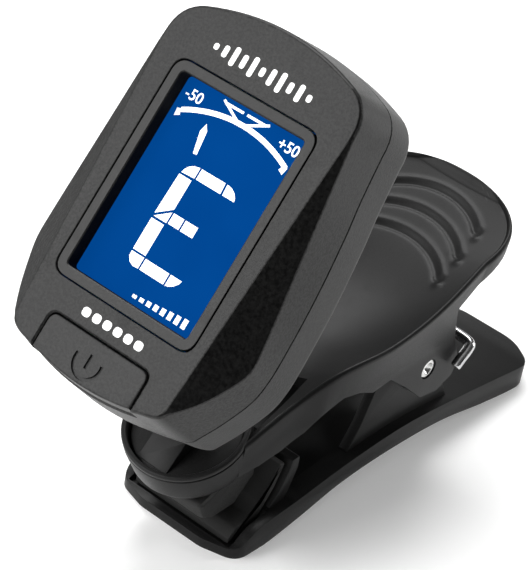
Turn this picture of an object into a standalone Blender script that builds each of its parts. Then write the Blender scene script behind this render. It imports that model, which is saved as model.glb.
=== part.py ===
"""Clip-on instrument tuner: a display head on a swivelling, tilting mount, carried by a sprung clip.

+Z is up, +Y runs from the clip's nose to its thumb end, and +X is the side that the spring hook shows on.
The clip stands on z = 0 with its jaws shut, and the head leans back over it.
"""

from math import cos, pi, radians, sin

import bmesh
import bpy
from mathutils import Vector

for old in list(bpy.data.objects):
    bpy.data.objects.remove(old, do_unlink=True)

MM = 0.001

# Clearances
SEAM = 0.15 * MM                 # cosmetic joint between two mouldings
CLEAR = 0.3 * MM                 # pieces that rest on, or turn in, each other
MERGE = 0.002 * MM               # vertices closer than this are one vertex

# Where the clip's hinge and the swivel cup are
HINGE = Vector((0, 12.5 * MM, 13.0 * MM))
CUP = Vector((0, -20.1 * MM, 14.6 * MM))        # centre of the cup's mouth
ARM_PITCH = radians(24)                         # the cup's axis leans this far towards the nose
HEAD_LEAN = radians(53)                         # the head's long axis above the horizontal
PIVOT_RISE = 10.0 * MM                          # tilt pin above the cup's mouth
PIVOT_BEHIND = 3.4 * MM                         # tilt pin behind the head's rear
PIVOT_BELOW_MIDDLE = 15.9 * MM                  # tilt pin below the display's middle

# Head
FACE_TOP = 20.2 * MM
FACE_BOTTOM = 21.4 * MM
TOP_ARC_R = 28 * MM
BOTTOM_ARC_R = 28 * MM
SHOULDER_V = 14.2 * MM                          # where the sides start to flare
FACE_HALF = (12.5 * MM, 10.5 * MM)              # the face's half width at the shoulder and at its lower corner
ANKLE_V = -19.0 * MM
# The side facet's outer edge: height, half width and depth below the face
FACET_EDGE = [(14.2 * MM, 12.75 * MM, 0.2 * MM), (2.0 * MM, 13.9 * MM, 1.5 * MM),
              (-9.2 * MM, 14.95 * MM, 2.7 * MM), (-11.2 * MM, 14.9 * MM, 2.8 * MM),
              (-13.6 * MM, 14.0 * MM, 2.4 * MM), (-16.3 * MM, 12.6 * MM, 1.5 * MM),
              (-19.0 * MM, 10.6 * MM, 0.1 * MM)]
# The wall behind it: height and half width, from the joint between the two halves of the case to the back
WALL_LINE = [(14.2 * MM, 12.95 * MM), (9.3 * MM, 13.5 * MM), (5.4 * MM, 14.1 * MM), (-1.2 * MM, 14.8 * MM),
             (-7.0 * MM, 15.1 * MM), (-10.4 * MM, 15.1 * MM), (-13.0 * MM, 14.65 * MM), (-16.7 * MM, 12.9 * MM),
             (-19.0 * MM, 11.5 * MM)]
BOTTOM_GROWTH = 1.0 * MM                        # the head's ends stand out this much further at the joint
TOP_GROWTH = 0.5 * MM
FRONT_DEPTH = 6.9 * MM
HEAD_DEPTH = 12.4 * MM
PIVOT_TO_FACE = HEAD_DEPTH + PIVOT_BEHIND
HEAD_WALL = 1.4 * MM
FACE_WALL = 1.5 * MM
REAR_EDGE = 1.0 * MM

# Display and its frame
FRAME_W, FRAME_H, FRAME_R = 18.9 * MM, 25.3 * MM, 1.7 * MM
WINDOW_W, WINDOW_H, WINDOW_R = 16.6 * MM, 23.0 * MM, 0.5 * MM
BEZEL_DEPTH = 1.9 * MM
PANEL_W, PANEL_H, PANEL_T = 18.6 * MM, 25.4 * MM, 1.1 * MM
BACKLIGHT_T = 1.2 * MM
BOARD_T = 1.0 * MM

# Power button
BUTTON_HALF = 6.8 * MM
BUTTON_TOP_V = -16.3 * MM
BUTTON_R = 1.1 * MM
BUTTON_T = 1.6 * MM
BUTTON_TRAVEL = 0.4 * MM

# Battery, its door and contacts
CELL_R, CELL_T = 10.0 * MM, 3.2 * MM
CELL_V = 3.6 * MM
DOOR_W, DOOR_H, DOOR_T, DOOR_R = 21.4 * MM, 23.0 * MM, 1.2 * MM, 2.0 * MM
CONTACT_T = 0.3 * MM

# Case screws, at the head's lower corners
CASE_SCREW_X, CASE_SCREW_V = 11.2 * MM, -12.6 * MM
CASE_SCREW_R, CASE_SCREW_HEAD_R = 0.8 * MM, 1.5 * MM
CASE_SCREW_HEAD_T = 0.8 * MM
SCREW_PLAY = 0.05 * MM                          # the holes are drawn at the thread's outer size
BOSS_R = 1.6 * MM

# Swivel and tilt
CUP_BORE_R = 6.6 * MM
CUP_R = 7.25 * MM
CUP_H = 5.0 * MM
TURRET_DISC_T = 2.4 * MM
TURRET_DROP = 1.1 * MM                          # the disc's top below the cup's mouth
POST_W = 4.2 * MM
POST_T = 4.6 * MM
BARREL_R = 2.6 * MM
EAR_T = 2.0 * MM
TILT_PIN_R = 1.0 * MM
PIVOT_FIT = 0.06 * MM                           # radial play of each pin in the piece that turns on it
STEM_R = 2.0 * MM
STEM_SCREW_R = 0.8 * MM

# Clip arms
ARM_WALL = 1.3 * MM
PLATE_T = 1.5 * MM
NOSE_Y = -19.8 * MM
TAIL_Y = 40.1 * MM
LOWER_HALF = 8.95 * MM
HINGE_PIN_R = 1.25 * MM
WIRE_R = 0.65 * MM
COIL_R = 3.3 * MM
COIL_TURNS = 3


def smooth_flat(mesh, angle=35):
    mesh.shade_smooth()
    mesh.set_sharp_from_angle(angle=radians(angle))


def material(name, colour, roughness, metallic=0.0):
    mat = bpy.data.materials.new(name)
    mat.use_nodes = True
    shader = mat.node_tree.nodes["Principled BSDF"]
    shader.inputs["Base Color"].default_value = (*colour, 1)
    shader.inputs["Roughness"].default_value = roughness
    shader.inputs["Metallic"].default_value = metallic
    return mat


SHELL = material("textured black plastic", (0.045, 0.045, 0.045), 0.5)
ARM = material("satin black plastic", (0.03, 0.03, 0.03), 0.42)
BEZEL = material("gloss black plastic", (0.02, 0.02, 0.02), 0.2)
RUBBER = material("rubber", (0.02, 0.02, 0.02), 0.8)
STEEL = material("steel", (0.7, 0.7, 0.7), 0.25, 1.0)
BRASS = material("plated contact", (0.75, 0.6, 0.3), 0.3, 1.0)
LCD = material("blue display", (0.0, 0.1, 0.45), 0.2)
DIFFUSER = material("white diffuser", (0.85, 0.88, 0.9), 0.4)
LAMINATE = material("green laminate", (0.02, 0.16, 0.06), 0.4)
CERAMIC = material("ceramic", (0.85, 0.8, 0.7), 0.5)


def empty(name, location, lean=0.0, parent=None):
    obj = bpy.data.objects.new(name, None)
    bpy.context.scene.collection.objects.link(obj)
    obj.location = location
    obj.rotation_euler = (lean, 0, 0)
    obj.parent = parent
    return obj


def add(name, bm, mat, parent=None, guide=False):
    bmesh.ops.remove_doubles(bm, verts=bm.verts, dist=MERGE)
    bmesh.ops.recalc_face_normals(bm, faces=bm.faces)
    mesh = bpy.data.meshes.new(name)
    bm.to_mesh(mesh)
    bm.free()
    smooth_flat(mesh)
    obj = bpy.data.objects.new(name, mesh)
    bpy.context.scene.collection.objects.link(obj)
    if mat:
        mesh.materials.append(mat)
    if parent:
        obj.parent = parent
    if guide:
        obj.hide_render = True
        obj.display_type = "WIRE"
    return obj


def boolean(obj, bm, operation="DIFFERENCE", name="cutter", parent=None):
    tool = add(f"{obj.name} {name}", bm, None, parent or obj.parent, guide=True)
    mod = obj.modifiers.new(name, "BOOLEAN")
    mod.object = tool
    mod.operation = operation
    mod.solver = "EXACT"
    return tool


def loft(loops):
    """Skin closed loops of equal length and cap both ends."""
    bm = bmesh.new()
    rings = [[bm.verts.new(p) for p in loop] for loop in loops]
    for a, b in zip(rings, rings[1:]):
        for i in range(len(a)):
            j = (i + 1) % len(a)
            bm.faces.new((a[i], a[j], b[j], b[i]))
    bm.faces.new(rings[0])
    bm.faces.new(list(reversed(rings[-1])))
    bmesh.ops.remove_doubles(bm, verts=bm.verts, dist=MERGE)
    return bm


def round_corners(corners, radius, steps=4):
    """Replace each corner of an outline by an arc; radius is one value or one for each corner."""
    radii = radius if isinstance(radius, (list, tuple)) else [radius] * len(corners)
    out = []
    count = len(corners)
    for i, corner in enumerate(corners):
        here = Vector(corner)
        before = Vector(corners[i - 1]) - here
        after = Vector(corners[(i + 1) % count]) - here
        if radii[i] <= 0:
            out.append(tuple(here))
            continue
        half = before.angle(after) / 2
        reach = min(radii[i] * cos(half) / sin(half), before.length * 0.49, after.length * 0.49)
        start = here + before.normalized() * reach
        end = here + after.normalized() * reach
        for k in range(steps + 1):
            t = k / steps
            out.append(tuple(start.lerp(here, t).lerp(here.lerp(end, t), t)))
    return out


def rounded_rect(width, height, radius, steps=4, centre=(0, 0)):
    x, y = width / 2, height / 2
    cx, cy = centre
    return round_corners([(cx - x, cy - y), (cx + x, cy - y), (cx + x, cy + y), (cx - x, cy + y)], radius, steps)


def circle(radius, count=32, centre=(0, 0)):
    return [(centre[0] + radius * cos(2 * pi * k / count), centre[1] + radius * sin(2 * pi * k / count))
            for k in range(count)]


def prism(outline, low, high):
    """Extrude an outline in X and Y from z = low to z = high."""
    return loft([[(x, y, z) for x, y in outline] for z in (low, high)])


def side_prism(profile, low, high):
    """Extrude a side view, given as Y and Z, from x = low to x = high."""
    return loft([[(x, y, z) for y, z in profile] for x in (low, high)])


def smooth_line(points, at):
    """Height of a smooth curve through a few points, at a place along them."""
    at = min(max(at, points[0][0]), points[-1][0])
    k = next(i for i in range(len(points) - 1) if at <= points[i + 1][0])
    before, after = max(k - 1, 0), min(k + 2, len(points) - 1)
    (x1, y1), (x2, y2) = points[k], points[k + 1]
    m1 = (y2 - points[before][1]) / (x2 - points[before][0])
    m2 = (points[after][1] - y1) / (points[after][0] - x1)
    t = (at - x1) / (x2 - x1)
    span = x2 - x1
    return ((2 * t ** 3 - 3 * t ** 2 + 1) * y1 + (t ** 3 - 2 * t ** 2 + t) * span * m1
            + (3 * t ** 2 - 2 * t ** 3) * y2 + (t ** 3 - t ** 2) * span * m2)


# ---------------------------------------------------------------- head

swivel = empty("swivel axis", CUP, ARM_PITCH)
pivot = empty("tilt axis", CUP + Vector((0, -sin(ARM_PITCH), cos(ARM_PITCH))) * PIVOT_RISE, HEAD_LEAN)
head = empty("head frame", (0, PIVOT_BELOW_MIDDLE, PIVOT_TO_FACE), 0, pivot)


def head_loop(depth, inset=0.0, edge="wall"):
    """The head's outline at a depth below the face.

    Its sides follow the edge of the face, the facet's outer edge or the wall.
    """
    grown = {"face": 0.0, "facet": 0.0, "wall": 1.0}[edge]
    top = FACE_TOP - inset + TOP_GROWTH * grown
    bottom = -FACE_BOTTOM + inset - BOTTOM_GROWTH * grown
    crown = [(x, top - x * x / (2 * TOP_ARC_R)) for x in (0, 3.5 * MM, 7 * MM, 10 * MM - inset)]
    side = []
    stations = 18
    for k in range(stations + 1):
        share = k / stations
        v = SHOULDER_V + (ANKLE_V - SHOULDER_V) * share
        if edge == "face":
            half, drop = FACE_HALF[0] + (FACE_HALF[1] - FACE_HALF[0]) * share, 0.0
        elif edge == "facet":
            half = -smooth_line([(-a, -b) for a, b, c in FACET_EDGE], -v)
            drop = smooth_line([(-a, c) for a, b, c in FACET_EDGE], -v)
        else:
            half, drop = smooth_line([(-a, b) for a, b in WALL_LINE], -v), 0.0
        side.append((half - inset, v - inset + (2 * inset - 0.8 * BOTTOM_GROWTH * grown) * share, drop))
    shoulder, ankle = Vector(side[0][:2]), Vector(side[-1][:2])
    corner = Vector((shoulder.x, crown[-1][1] - 1.1 * MM))
    start = Vector(crown[-1])
    right = [(x, v, 0.0) for x, v in crown]
    for t in (0.25, 0.5, 0.75):
        p = start.lerp(corner, t).lerp(corner.lerp(shoulder, t), t)
        right.append((p.x, p.y, side[0][2] * t))
    right += side
    sole = [(x, bottom + x * x / (2 * BOTTOM_ARC_R)) for x in (8.2 * MM - inset, 5.5 * MM, 2.8 * MM, 0)]
    end = Vector(sole[0])
    corner = Vector((ankle.x - 0.4 * MM, end.y + 0.35 * MM))
    for t in (0.25, 0.5, 0.75):
        p = ankle.lerp(corner, t).lerp(corner.lerp(end, t), t)
        right.append((p.x, p.y, side[-1][2] * (1 - t)))
    right += [(x, v, 0.0) for x, v in sole]
    left = [(-x, v, d) for x, v, d in reversed(right[1:-1])]
    return [Vector((x, v, -depth - d)) for x, v, d in right + left]


def front_cover():
    bm = loft([
        head_loop(0, edge="face"),
        head_loop(0.01 * MM, edge="facet"),
        head_loop(FRONT_DEPTH),
        head_loop(FRONT_DEPTH, HEAD_WALL),
        head_loop(FACE_WALL + 0.6 * MM, HEAD_WALL + 0.1 * MM, "facet"),
        head_loop(FACE_WALL, HEAD_WALL + 0.4 * MM, "face"),
    ])
    cover = add("front_cover", bm, SHELL, head)
    through = FACE_WALL + MM
    opening = rounded_rect(FRAME_W + 2 * SEAM, FRAME_H + 2 * SEAM, FRAME_R)
    boolean(cover, prism(opening, -through, MM), name="display")
    notch = rounded_rect(2 * (BUTTON_HALF + SEAM), 9 * MM, BUTTON_R, centre=(0, BUTTON_TOP_V + SEAM - 4.5 * MM))
    boolean(cover, prism(notch, -BUTTON_T - BUTTON_TRAVEL - CLEAR, MM), name="button")
    for k, side in enumerate((-1, 1)):
        spot = (side * CASE_SCREW_X, CASE_SCREW_V)
        boss = prism(circle(BOSS_R, 16, spot), -FRONT_DEPTH, -FACE_WALL - 1.6 * MM)
        boolean(cover, boss, "UNION", f"boss {k}")
        hole = prism(circle(CASE_SCREW_R + SCREW_PLAY, 12, spot), -FRONT_DEPTH - MM, -FACE_WALL - 2.6 * MM)
        boolean(cover, hole, name=f"screw hole {k}")
    return cover


def power_button():
    """Fills the notch in the face's lower edge; its skirt follows the head's lower wall."""
    bm = loft([head_loop(0, edge="face"), head_loop(FRONT_DEPTH)])
    key = add("power_button", bm, SHELL, head)
    keep = rounded_rect(2 * BUTTON_HALF, 9 * MM, BUTTON_R, centre=(0, BUTTON_TOP_V - 4.5 * MM))
    boolean(key, prism(keep, -BUTTON_T, MM), "INTERSECT", "outline")
    return key


front_cover()
power_button()

display_frame = prism(rounded_rect(FRAME_W, FRAME_H, FRAME_R), -BEZEL_DEPTH, 0)
bezel = add("display_bezel", display_frame, BEZEL, head)
boolean(bezel, prism(rounded_rect(WINDOW_W, WINDOW_H, WINDOW_R), -BEZEL_DEPTH - MM, MM), name="window")

panel_top = BEZEL_DEPTH + CLEAR
panel_low = panel_top + PANEL_T
add("lcd_panel", prism(rounded_rect(PANEL_W, PANEL_H, 0.3 * MM, 1), -panel_low, -panel_top), LCD, head)
light_top = panel_low + CLEAR
light_low = light_top + BACKLIGHT_T
LIGHT_H = PANEL_H - 3.4 * MM
add("backlight", prism(rounded_rect(PANEL_W, LIGHT_H, 0.5 * MM, 1), -light_low, -light_top), DIFFUSER, head)
board_top = light_low + CLEAR
board_low = board_top + BOARD_T

# the elastomer strip that joins the display's top ledge to the board passes above the backlight
STRIP_H = 1.2 * MM
strip_v = (PANEL_H - STRIP_H) / 2
add("display_connector", prism(rounded_rect(PANEL_W - 2 * MM, STRIP_H, 0.2 * MM, 1, (0, strip_v)),
                               -board_top + CLEAR, -light_top), RUBBER, head)

BOARD_GAP = 0.5 * MM
board = add("circuit_board", loft([head_loop(d, HEAD_WALL + BOARD_GAP, "face") for d in (board_top, board_low)]),
            LAMINATE, head)

switch_v = BUTTON_TOP_V - 2.1 * MM
SWITCH_GAP = 0.35 * MM                          # travel left between the button and the switch
switch_top = BUTTON_T + BUTTON_TRAVEL + SWITCH_GAP
switch = add("button_switch", prism(rounded_rect(3.6 * MM, 2.6 * MM, 0.4 * MM, 1, (0, switch_v)),
                                    -board_top + CLEAR, -switch_top - 0.6 * MM), BEZEL, head)
boolean(switch, prism(circle(0.8 * MM, 12, (0, switch_v)), -switch_top - MM, -switch_top), "UNION", "plunger")

# Behind the board: chip, vibration sensor, contacts and cell
parts_top = board_low + CLEAR
add("tuner_chip", prism(rounded_rect(6 * MM, 3.4 * MM, 0.2 * MM, 1, (0, -12.6 * MM)),
                        -parts_top - 1.1 * MM, -parts_top), BEZEL, head)
add("vibration_sensor", prism(circle(1.9 * MM, 20, (-7.2 * MM, -11.2 * MM)), -parts_top - 0.9 * MM, -parts_top),
    CERAMIC, head)

rear_floor = HEAD_DEPTH - FACE_WALL
cell_low = HEAD_DEPTH - DOOR_T - CLEAR
cell_top = cell_low - CELL_T
cell = add("coin_cell", prism(circle(CELL_R, 40, (0, CELL_V)), -cell_low, -cell_top), STEEL, head)

contact_low = cell_top - 0.2 * MM
add("negative_contact", prism(rounded_rect(3 * MM, 11 * MM, 0.4 * MM, 2, (0, CELL_V)),
                              -contact_low, -contact_low + CONTACT_T - 0.1 * MM), BRASS, head)


def rear_cover():
    bm = loft([
        head_loop(FRONT_DEPTH + SEAM, HEAD_WALL),
        head_loop(FRONT_DEPTH + SEAM),
        head_loop(HEAD_DEPTH - REAR_EDGE),
        head_loop(HEAD_DEPTH - 0.3 * REAR_EDGE, 0.3 * REAR_EDGE),
        head_loop(HEAD_DEPTH, REAR_EDGE),
    ][::-1] + [head_loop(rear_floor, HEAD_WALL)])
    cover = add("rear_cover", bm, SHELL, head)
    ears = []
    for side in (-1, 1):
        inner = POST_W / 2 + CLEAR
        outer = inner + EAR_T
        low, high = sorted((side * inner, side * outer))
        drop = PIVOT_TO_FACE - HEAD_DEPTH
        # the ear's root runs into the cover, and its free end is round about the tilt pin
        root = HEAD_DEPTH - 0.6 * MM
        profile = [(-PIVOT_BELOW_MIDDLE + BARREL_R * cos(a), -PIVOT_TO_FACE + BARREL_R * sin(a))
                   for a in (pi + pi * k / 12 for k in range(13))]
        profile += [(-PIVOT_BELOW_MIDDLE + BARREL_R + drop * 0.35, -root),
                    (-PIVOT_BELOW_MIDDLE - BARREL_R, -root)]
        ears.append(side_prism(profile, low, high))
    for k, ear in enumerate(ears):
        boolean(cover, ear, "UNION", f"ear {k}")
    hole = side_prism([(y - PIVOT_BELOW_MIDDLE, z - PIVOT_TO_FACE) for y, z in circle(TILT_PIN_R + 0.02 * MM, 20)],
                      -20 * MM, 20 * MM)
    boolean(cover, hole, name="pin hole")
    seat = rounded_rect(DOOR_W + 2 * SEAM, DOOR_H + 2 * SEAM, DOOR_R, centre=(0, CELL_V))
    boolean(cover, prism(seat, -HEAD_DEPTH - MM, -rear_floor + MM), name="door")
    for k, side in enumerate((-1, 1)):
        spot = (side * CASE_SCREW_X, CASE_SCREW_V)
        boss = prism(circle(BOSS_R, 16, spot), -rear_floor - 0.5 * MM, -FRONT_DEPTH - CLEAR)
        boolean(cover, boss, "UNION", f"boss {k}")
        hole = prism(circle(CASE_SCREW_R + CLEAR, 12, spot), -HEAD_DEPTH - MM, -FRONT_DEPTH + MM)
        boolean(cover, hole, name=f"screw hole {k}")
        boolean(cover, prism(circle(CASE_SCREW_HEAD_R + SEAM, 16, spot), -HEAD_DEPTH - MM,
                             -HEAD_DEPTH + CASE_SCREW_HEAD_T + CLEAR), name=f"screw seat {k}")
    return cover


rear_cover()
door = add("battery_door", prism(rounded_rect(DOOR_W, DOOR_H, DOOR_R, centre=(0, CELL_V)),
                                 -HEAD_DEPTH, -HEAD_DEPTH + DOOR_T), SHELL, head)
for k in range(4):
    groove_v = CELL_V + DOOR_H / 2 - 3 * MM - k * 1.2 * MM
    boolean(door, prism(rounded_rect(8 * MM, 0.6 * MM, 0.25 * MM, 2, (0, groove_v)),
                        -HEAD_DEPTH - MM, -HEAD_DEPTH + 0.35 * MM), name=f"grip {k}")

pin_reach = POST_W / 2 + CLEAR + EAR_T
tilt_pin = side_prism([(y - PIVOT_BELOW_MIDDLE, z - PIVOT_TO_FACE) for y, z in circle(TILT_PIN_R, 20)],
                      -pin_reach, pin_reach)
add("tilt_pin", tilt_pin, STEEL, head)


def screw(name, spot, head_r, shank_r, under_head, head_t, tip, parent, count=16):
    """A cross-head screw that points along +Z; under_head is the height of the face its head bears on."""
    bm = prism(circle(head_r, count, spot), under_head - head_t, under_head)
    piece = add(name, bm, STEEL, parent)
    boolean(piece, prism(circle(shank_r, count, spot), under_head - head_t / 2, tip), "UNION", "shank")
    for k, (w, h) in enumerate(((head_r * 1.1, head_r * 0.25), (head_r * 0.25, head_r * 1.1))):
        slot = prism(rounded_rect(w, h, 0, 1, spot), under_head - head_t - MM, under_head - head_t / 2)
        boolean(piece, slot, name=f"slot {k}")
    return piece


for side, label in ((-1, "left"), (1, "right")):
    screw(f"case_screw_{label}", (side * CASE_SCREW_X, CASE_SCREW_V), CASE_SCREW_HEAD_R, CASE_SCREW_R,
          -HEAD_DEPTH + CASE_SCREW_HEAD_T + SEAM, CASE_SCREW_HEAD_T, -FACE_WALL - 2.9 * MM, head)

# An L-shaped contact: its tab lies over the board's edge and its leg runs down beside the cell
leg_x = CELL_R + CLEAR
tab_z = -parts_top
profile = [(leg_x - 2 * MM, tab_z), (leg_x + CONTACT_T, tab_z), (leg_x + CONTACT_T, -cell_low + 0.6 * MM),
           (leg_x, -cell_low + 0.6 * MM), (leg_x, tab_z - CONTACT_T), (leg_x - 2 * MM, tab_z - CONTACT_T)]
add("positive_contact", loft([[(x, v, z) for x, z in profile] for v in (CELL_V - 2.5 * MM, CELL_V + 2.5 * MM)]),
    BRASS, head)

# ---------------------------------------------------------------- swivel turret, in the cup's frame

disc_top = -TURRET_DROP
disc_low = disc_top - TURRET_DISC_T
cup_floor_top = disc_low - CLEAR
stem_low = -CUP_H - 0.1 * MM


def turret():
    piece = add("turret", prism(circle(CUP_BORE_R - CLEAR, 40), disc_low, disc_top), ARM, swivel)
    profile = [(BARREL_R * cos(a), PIVOT_RISE + BARREL_R * sin(a)) for a in (pi * k / 12 for k in range(13))]
    foot = disc_top - 0.5 * MM
    profile += [(-POST_T / 2, PIVOT_RISE - 2 * MM), (-POST_T / 2, foot), (POST_T / 2, foot),
                (POST_T / 2, PIVOT_RISE - 2 * MM)]
    boolean(piece, side_prism(profile, -POST_W / 2, POST_W / 2), "UNION", "post")
    reach = CUP_BORE_R - CLEAR - 0.45 * MM
    toe = [(-reach, foot), (-reach, disc_top + 0.1 * MM), (0.0, disc_top + 2.7 * MM), (0.0, foot)]
    toe_half = POST_W / 2 + 0.02 * MM
    boolean(piece, side_prism(toe, -toe_half, toe_half), "UNION", "toe")
    boolean(piece, prism(circle(STEM_R, 24), stem_low, disc_low + 0.5 * MM), "UNION", "stem")
    screw_hole = prism(circle(STEM_SCREW_R + SCREW_PLAY, 12), stem_low - MM, disc_top - 0.6 * MM)
    boolean(piece, screw_hole, name="screw hole")
    hole = [(y, z + PIVOT_RISE) for y, z in circle(TILT_PIN_R + PIVOT_FIT, 20)]
    boolean(piece, side_prism(hole, -POST_W, POST_W), name="pin hole")
    return piece


turret()
WASHER_T, WASHER_R = 0.4 * MM, 3.1 * MM
washer_top = stem_low - SEAM
washer = add("turret_washer", prism(circle(WASHER_R, 24), washer_top - WASHER_T, washer_top), STEEL, swivel)
boolean(washer, prism(circle(STEM_SCREW_R + CLEAR, 16), washer_top - MM, washer_top + MM), name="hole")
screw_seat = washer_top - WASHER_T - SEAM
screw("turret_screw", (0, 0), 2.4 * MM, STEM_SCREW_R, screw_seat, 1.0 * MM, disc_top - 0.9 * MM, swivel)

# ---------------------------------------------------------------- clip, in the hinge's frame

hinge = empty("hinge axis", HINGE)


# The upper arm, at places along it: the rim's height from the hinge, its half width, and how far its plate is dished
RIM = [(-31 * MM, 2.2 * MM), (-23.7 * MM, 5.6 * MM), (-18.9 * MM, 8.5 * MM), (-11.4 * MM, 9.8 * MM),
       (-5 * MM, 11.4 * MM), (2.4 * MM, 14.0 * MM), (13.3 * MM, 17.8 * MM)]
HALF = [(-31 * MM, 7.3 * MM), (-23.7 * MM, 8.4 * MM), (-18.9 * MM, 10.1 * MM), (-14 * MM, 11.2 * MM),
        (-8 * MM, 11.7 * MM), (-2 * MM, 11.7 * MM), (4 * MM, 11.3 * MM)]
DISH = [(-31 * MM, 2.2 * MM), (-18.9 * MM, 3.4 * MM), (-5 * MM, 3.0 * MM), (5 * MM, 1.8 * MM),
        (13.3 * MM, 0.7 * MM)]
THUMB_START, THUMB_END = 4 * MM, 13.3 * MM      # the thumb end is rounded from here to here
CHEEK_X = 9.2 * MM
LIP_W, LIP_H = 0.8 * MM, 0.6 * MM
DEEP = -6 * MM                                  # below everything the arm keeps


def arm_half(y):
    if y <= THUMB_START:
        return smooth_line(HALF, y)
    share = (y - THUMB_START) / (THUMB_END - THUMB_START)
    return HALF[-1][1] * max(1 - share ** 2.5, 0.0) ** (1 / 2.1) + 0.9 * MM * share


def arm_section(y):
    rim = smooth_line(RIM, y)
    half = arm_half(y)
    dish = smooth_line(DISH, y)
    edge = half - LIP_W
    plate = [(edge * s, rim - LIP_H - (dish - LIP_H) * (1 - s * s)) for s in (0, 0.35, 0.7, 1)]
    solid_end = y > THUMB_END - 2.6 * MM
    drop = 9 * MM if solid_end else PLATE_T
    cheek = min(CHEEK_X, half - 0.3 * MM)
    knee = min(2.5 * MM, rim - 3 * MM)
    wall = min(ARM_WALL, half * 0.4)
    under = [(edge * s * 0.9, z - drop) for s, (x, z) in zip((1, 0.7, 0.35, 0), reversed(plate))]
    under[0] = (min(half - wall - 0.1 * MM, edge * 0.95), under[0][1])
    right = plate + [(half - LIP_W * 0.6, rim), (half, rim - 0.3 * MM), (cheek, knee), (cheek, DEEP),
                     (cheek - wall, DEEP), (cheek - wall, knee - 0.4 * MM)] + under
    left = [(-x, z) for x, z in reversed(right[1:-1])]
    return [(x, y, z) for x, z in right + left]


def arm_stations():
    straight = [-31 + 35 * k / 17 for k in range(18)]
    thumb = [4 + 9.3 * sin(pi / 2 * k / 7) for k in range(1, 8)]
    return [y * MM for y in straight + thumb]


CHEEK_PROFILE = [(1.0, 9.0), (6.2, -1.2), (5.4, -3.2), (2.8, -4.3), (-0.4, -3.9), (-4.2, -0.7), (-7.8, 2.0),
                 (-11, 1.6)]
SKIRT_PROFILE = [(-14, 3.0), (-17.1, 3.8), (-20.6, 2.6), (-22.2, 0.8), (-25, -0.9), (-28, -1.8), (-33, -2.4)]
TAIL_PROFILE = [(-33, 25), (16, 25), (16, 16.4), (13.3, 15.6), (7.7, 13.1), (3.7, 11.2)]


def upper_arm():
    arm = add("upper_arm", loft([arm_section(y) for y in arm_stations()]), ARM, hinge)
    side_view = [(y * MM, z * MM) for y, z in TAIL_PROFILE + CHEEK_PROFILE + SKIRT_PROFILE]
    boolean(arm, side_prism(side_view, -15 * MM, 15 * MM), "INTERSECT", "side view")
    pocket = side_prism([(-29 * MM, 14 * MM), (-29 * MM, -5 * MM), (-20.2 * MM, -5 * MM), (-20.2 * MM, 14 * MM)],
                        -6.2 * MM, 6.2 * MM)
    boolean(arm, pocket, name="pocket")
    wall = [(CUP_R - 1.2 * MM, -CUP_H), (CUP_R - 0.5 * MM, -CUP_H + 0.5 * MM),
            (CUP_R - 0.3 * MM, -CUP_H + 1.1 * MM), (CUP_R, -1.3 * MM), (CUP_R, -0.85 * MM),
            (CUP_R - 0.25 * MM, -0.75 * MM), (CUP_R, -0.6 * MM), (CUP_R, -0.2 * MM), (CUP_R - 0.2 * MM, 0.0)]
    bm = loft([[(r * cos(a), r * sin(a), z) for a in (2 * pi * k / 40 for k in range(40))] for r, z in wall])
    boolean(arm, bm, "UNION", "cup", swivel)
    boolean(arm, prism(circle(CUP_BORE_R, 40), cup_floor_top, 12 * MM), name="cup bore", parent=swivel)
    boolean(arm, prism(circle(STEM_R + PIVOT_FIT, 24), -CUP_H - MM, 0), name="stem hole", parent=swivel)
    boolean(arm, side_prism(circle(HINGE_PIN_R + PIVOT_FIT, 24), -15 * MM, 15 * MM), name="hinge hole")
    for k in range(3):
        boolean(arm, grip_groove(k), name=f"grip {k}")
    return arm


GRIP_Y = (10.6 * MM, 7.3 * MM, 4.0 * MM)        # where each grip groove crosses the middle of the arm
GRIP_R = 9.5 * MM
GRIP_SPAN = (44, 49, 51)                        # degrees to each side
GRIP_WIDTH = 0.9 * MM
GRIP_DEPTH = 0.45 * MM


def grip_groove(k):
    """A curved groove across the thumb plate, following the plate's dish."""
    steps = 12
    loops = []
    for i in range(steps + 1):
        a = radians(GRIP_SPAN[k] * (2 * i / steps - 1))
        x = GRIP_R * sin(a)
        y = GRIP_Y[k] - GRIP_R * (1 - cos(a))
        rim, half, dish = smooth_line(RIM, y), arm_half(y) - LIP_W, smooth_line(DISH, y)
        z = rim - LIP_H - (dish - LIP_H) * max(1 - (x / half) ** 2, 0)
        across = Vector((sin(a), cos(a), 0)) * GRIP_WIDTH / 2
        middle = Vector((x, y, z))
        lift, sink = Vector((0, 0, 1.2 * MM)), Vector((0, 0, GRIP_DEPTH))
        loops.append([middle - across + lift, middle - across * 0.6 - sink, middle + across * 0.6 - sink,
                      middle + across + lift])
    return loft(loops)


upper_arm()

# Lower arm: heights are from the hinge, which is this far above the surface it stands on
GROUND = -HINGE.z
NOSE = NOSE_Y - HINGE.y
TAIL = TAIL_Y - HINGE.y
EAR_OUT = CHEEK_X - ARM_WALL - CLEAR
EAR_IN = EAR_OUT - ARM_WALL
UNDERSIDE = [(NOSE, 0), (-28 * MM, 0), (-26 * MM, 0), (-20 * MM, 1.0 * MM), (-13 * MM, 2.4 * MM),
             (-4 * MM, 2.9 * MM), (6 * MM, 2.5 * MM), (15 * MM, 1.0 * MM), (22 * MM, 0.1 * MM), (TAIL, 0)]
RIM_TOP = [(NOSE, 1.2 * MM), (NOSE + 1.6 * MM, 1.4 * MM), (-28.5 * MM, 2.9 * MM), (-21 * MM, 3.9 * MM),
           (-12 * MM, 5.0 * MM), (-2 * MM, 5.5 * MM), (8 * MM, 4.8 * MM), (18 * MM, 3.7 * MM), (TAIL, 2.5 * MM)]


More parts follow.
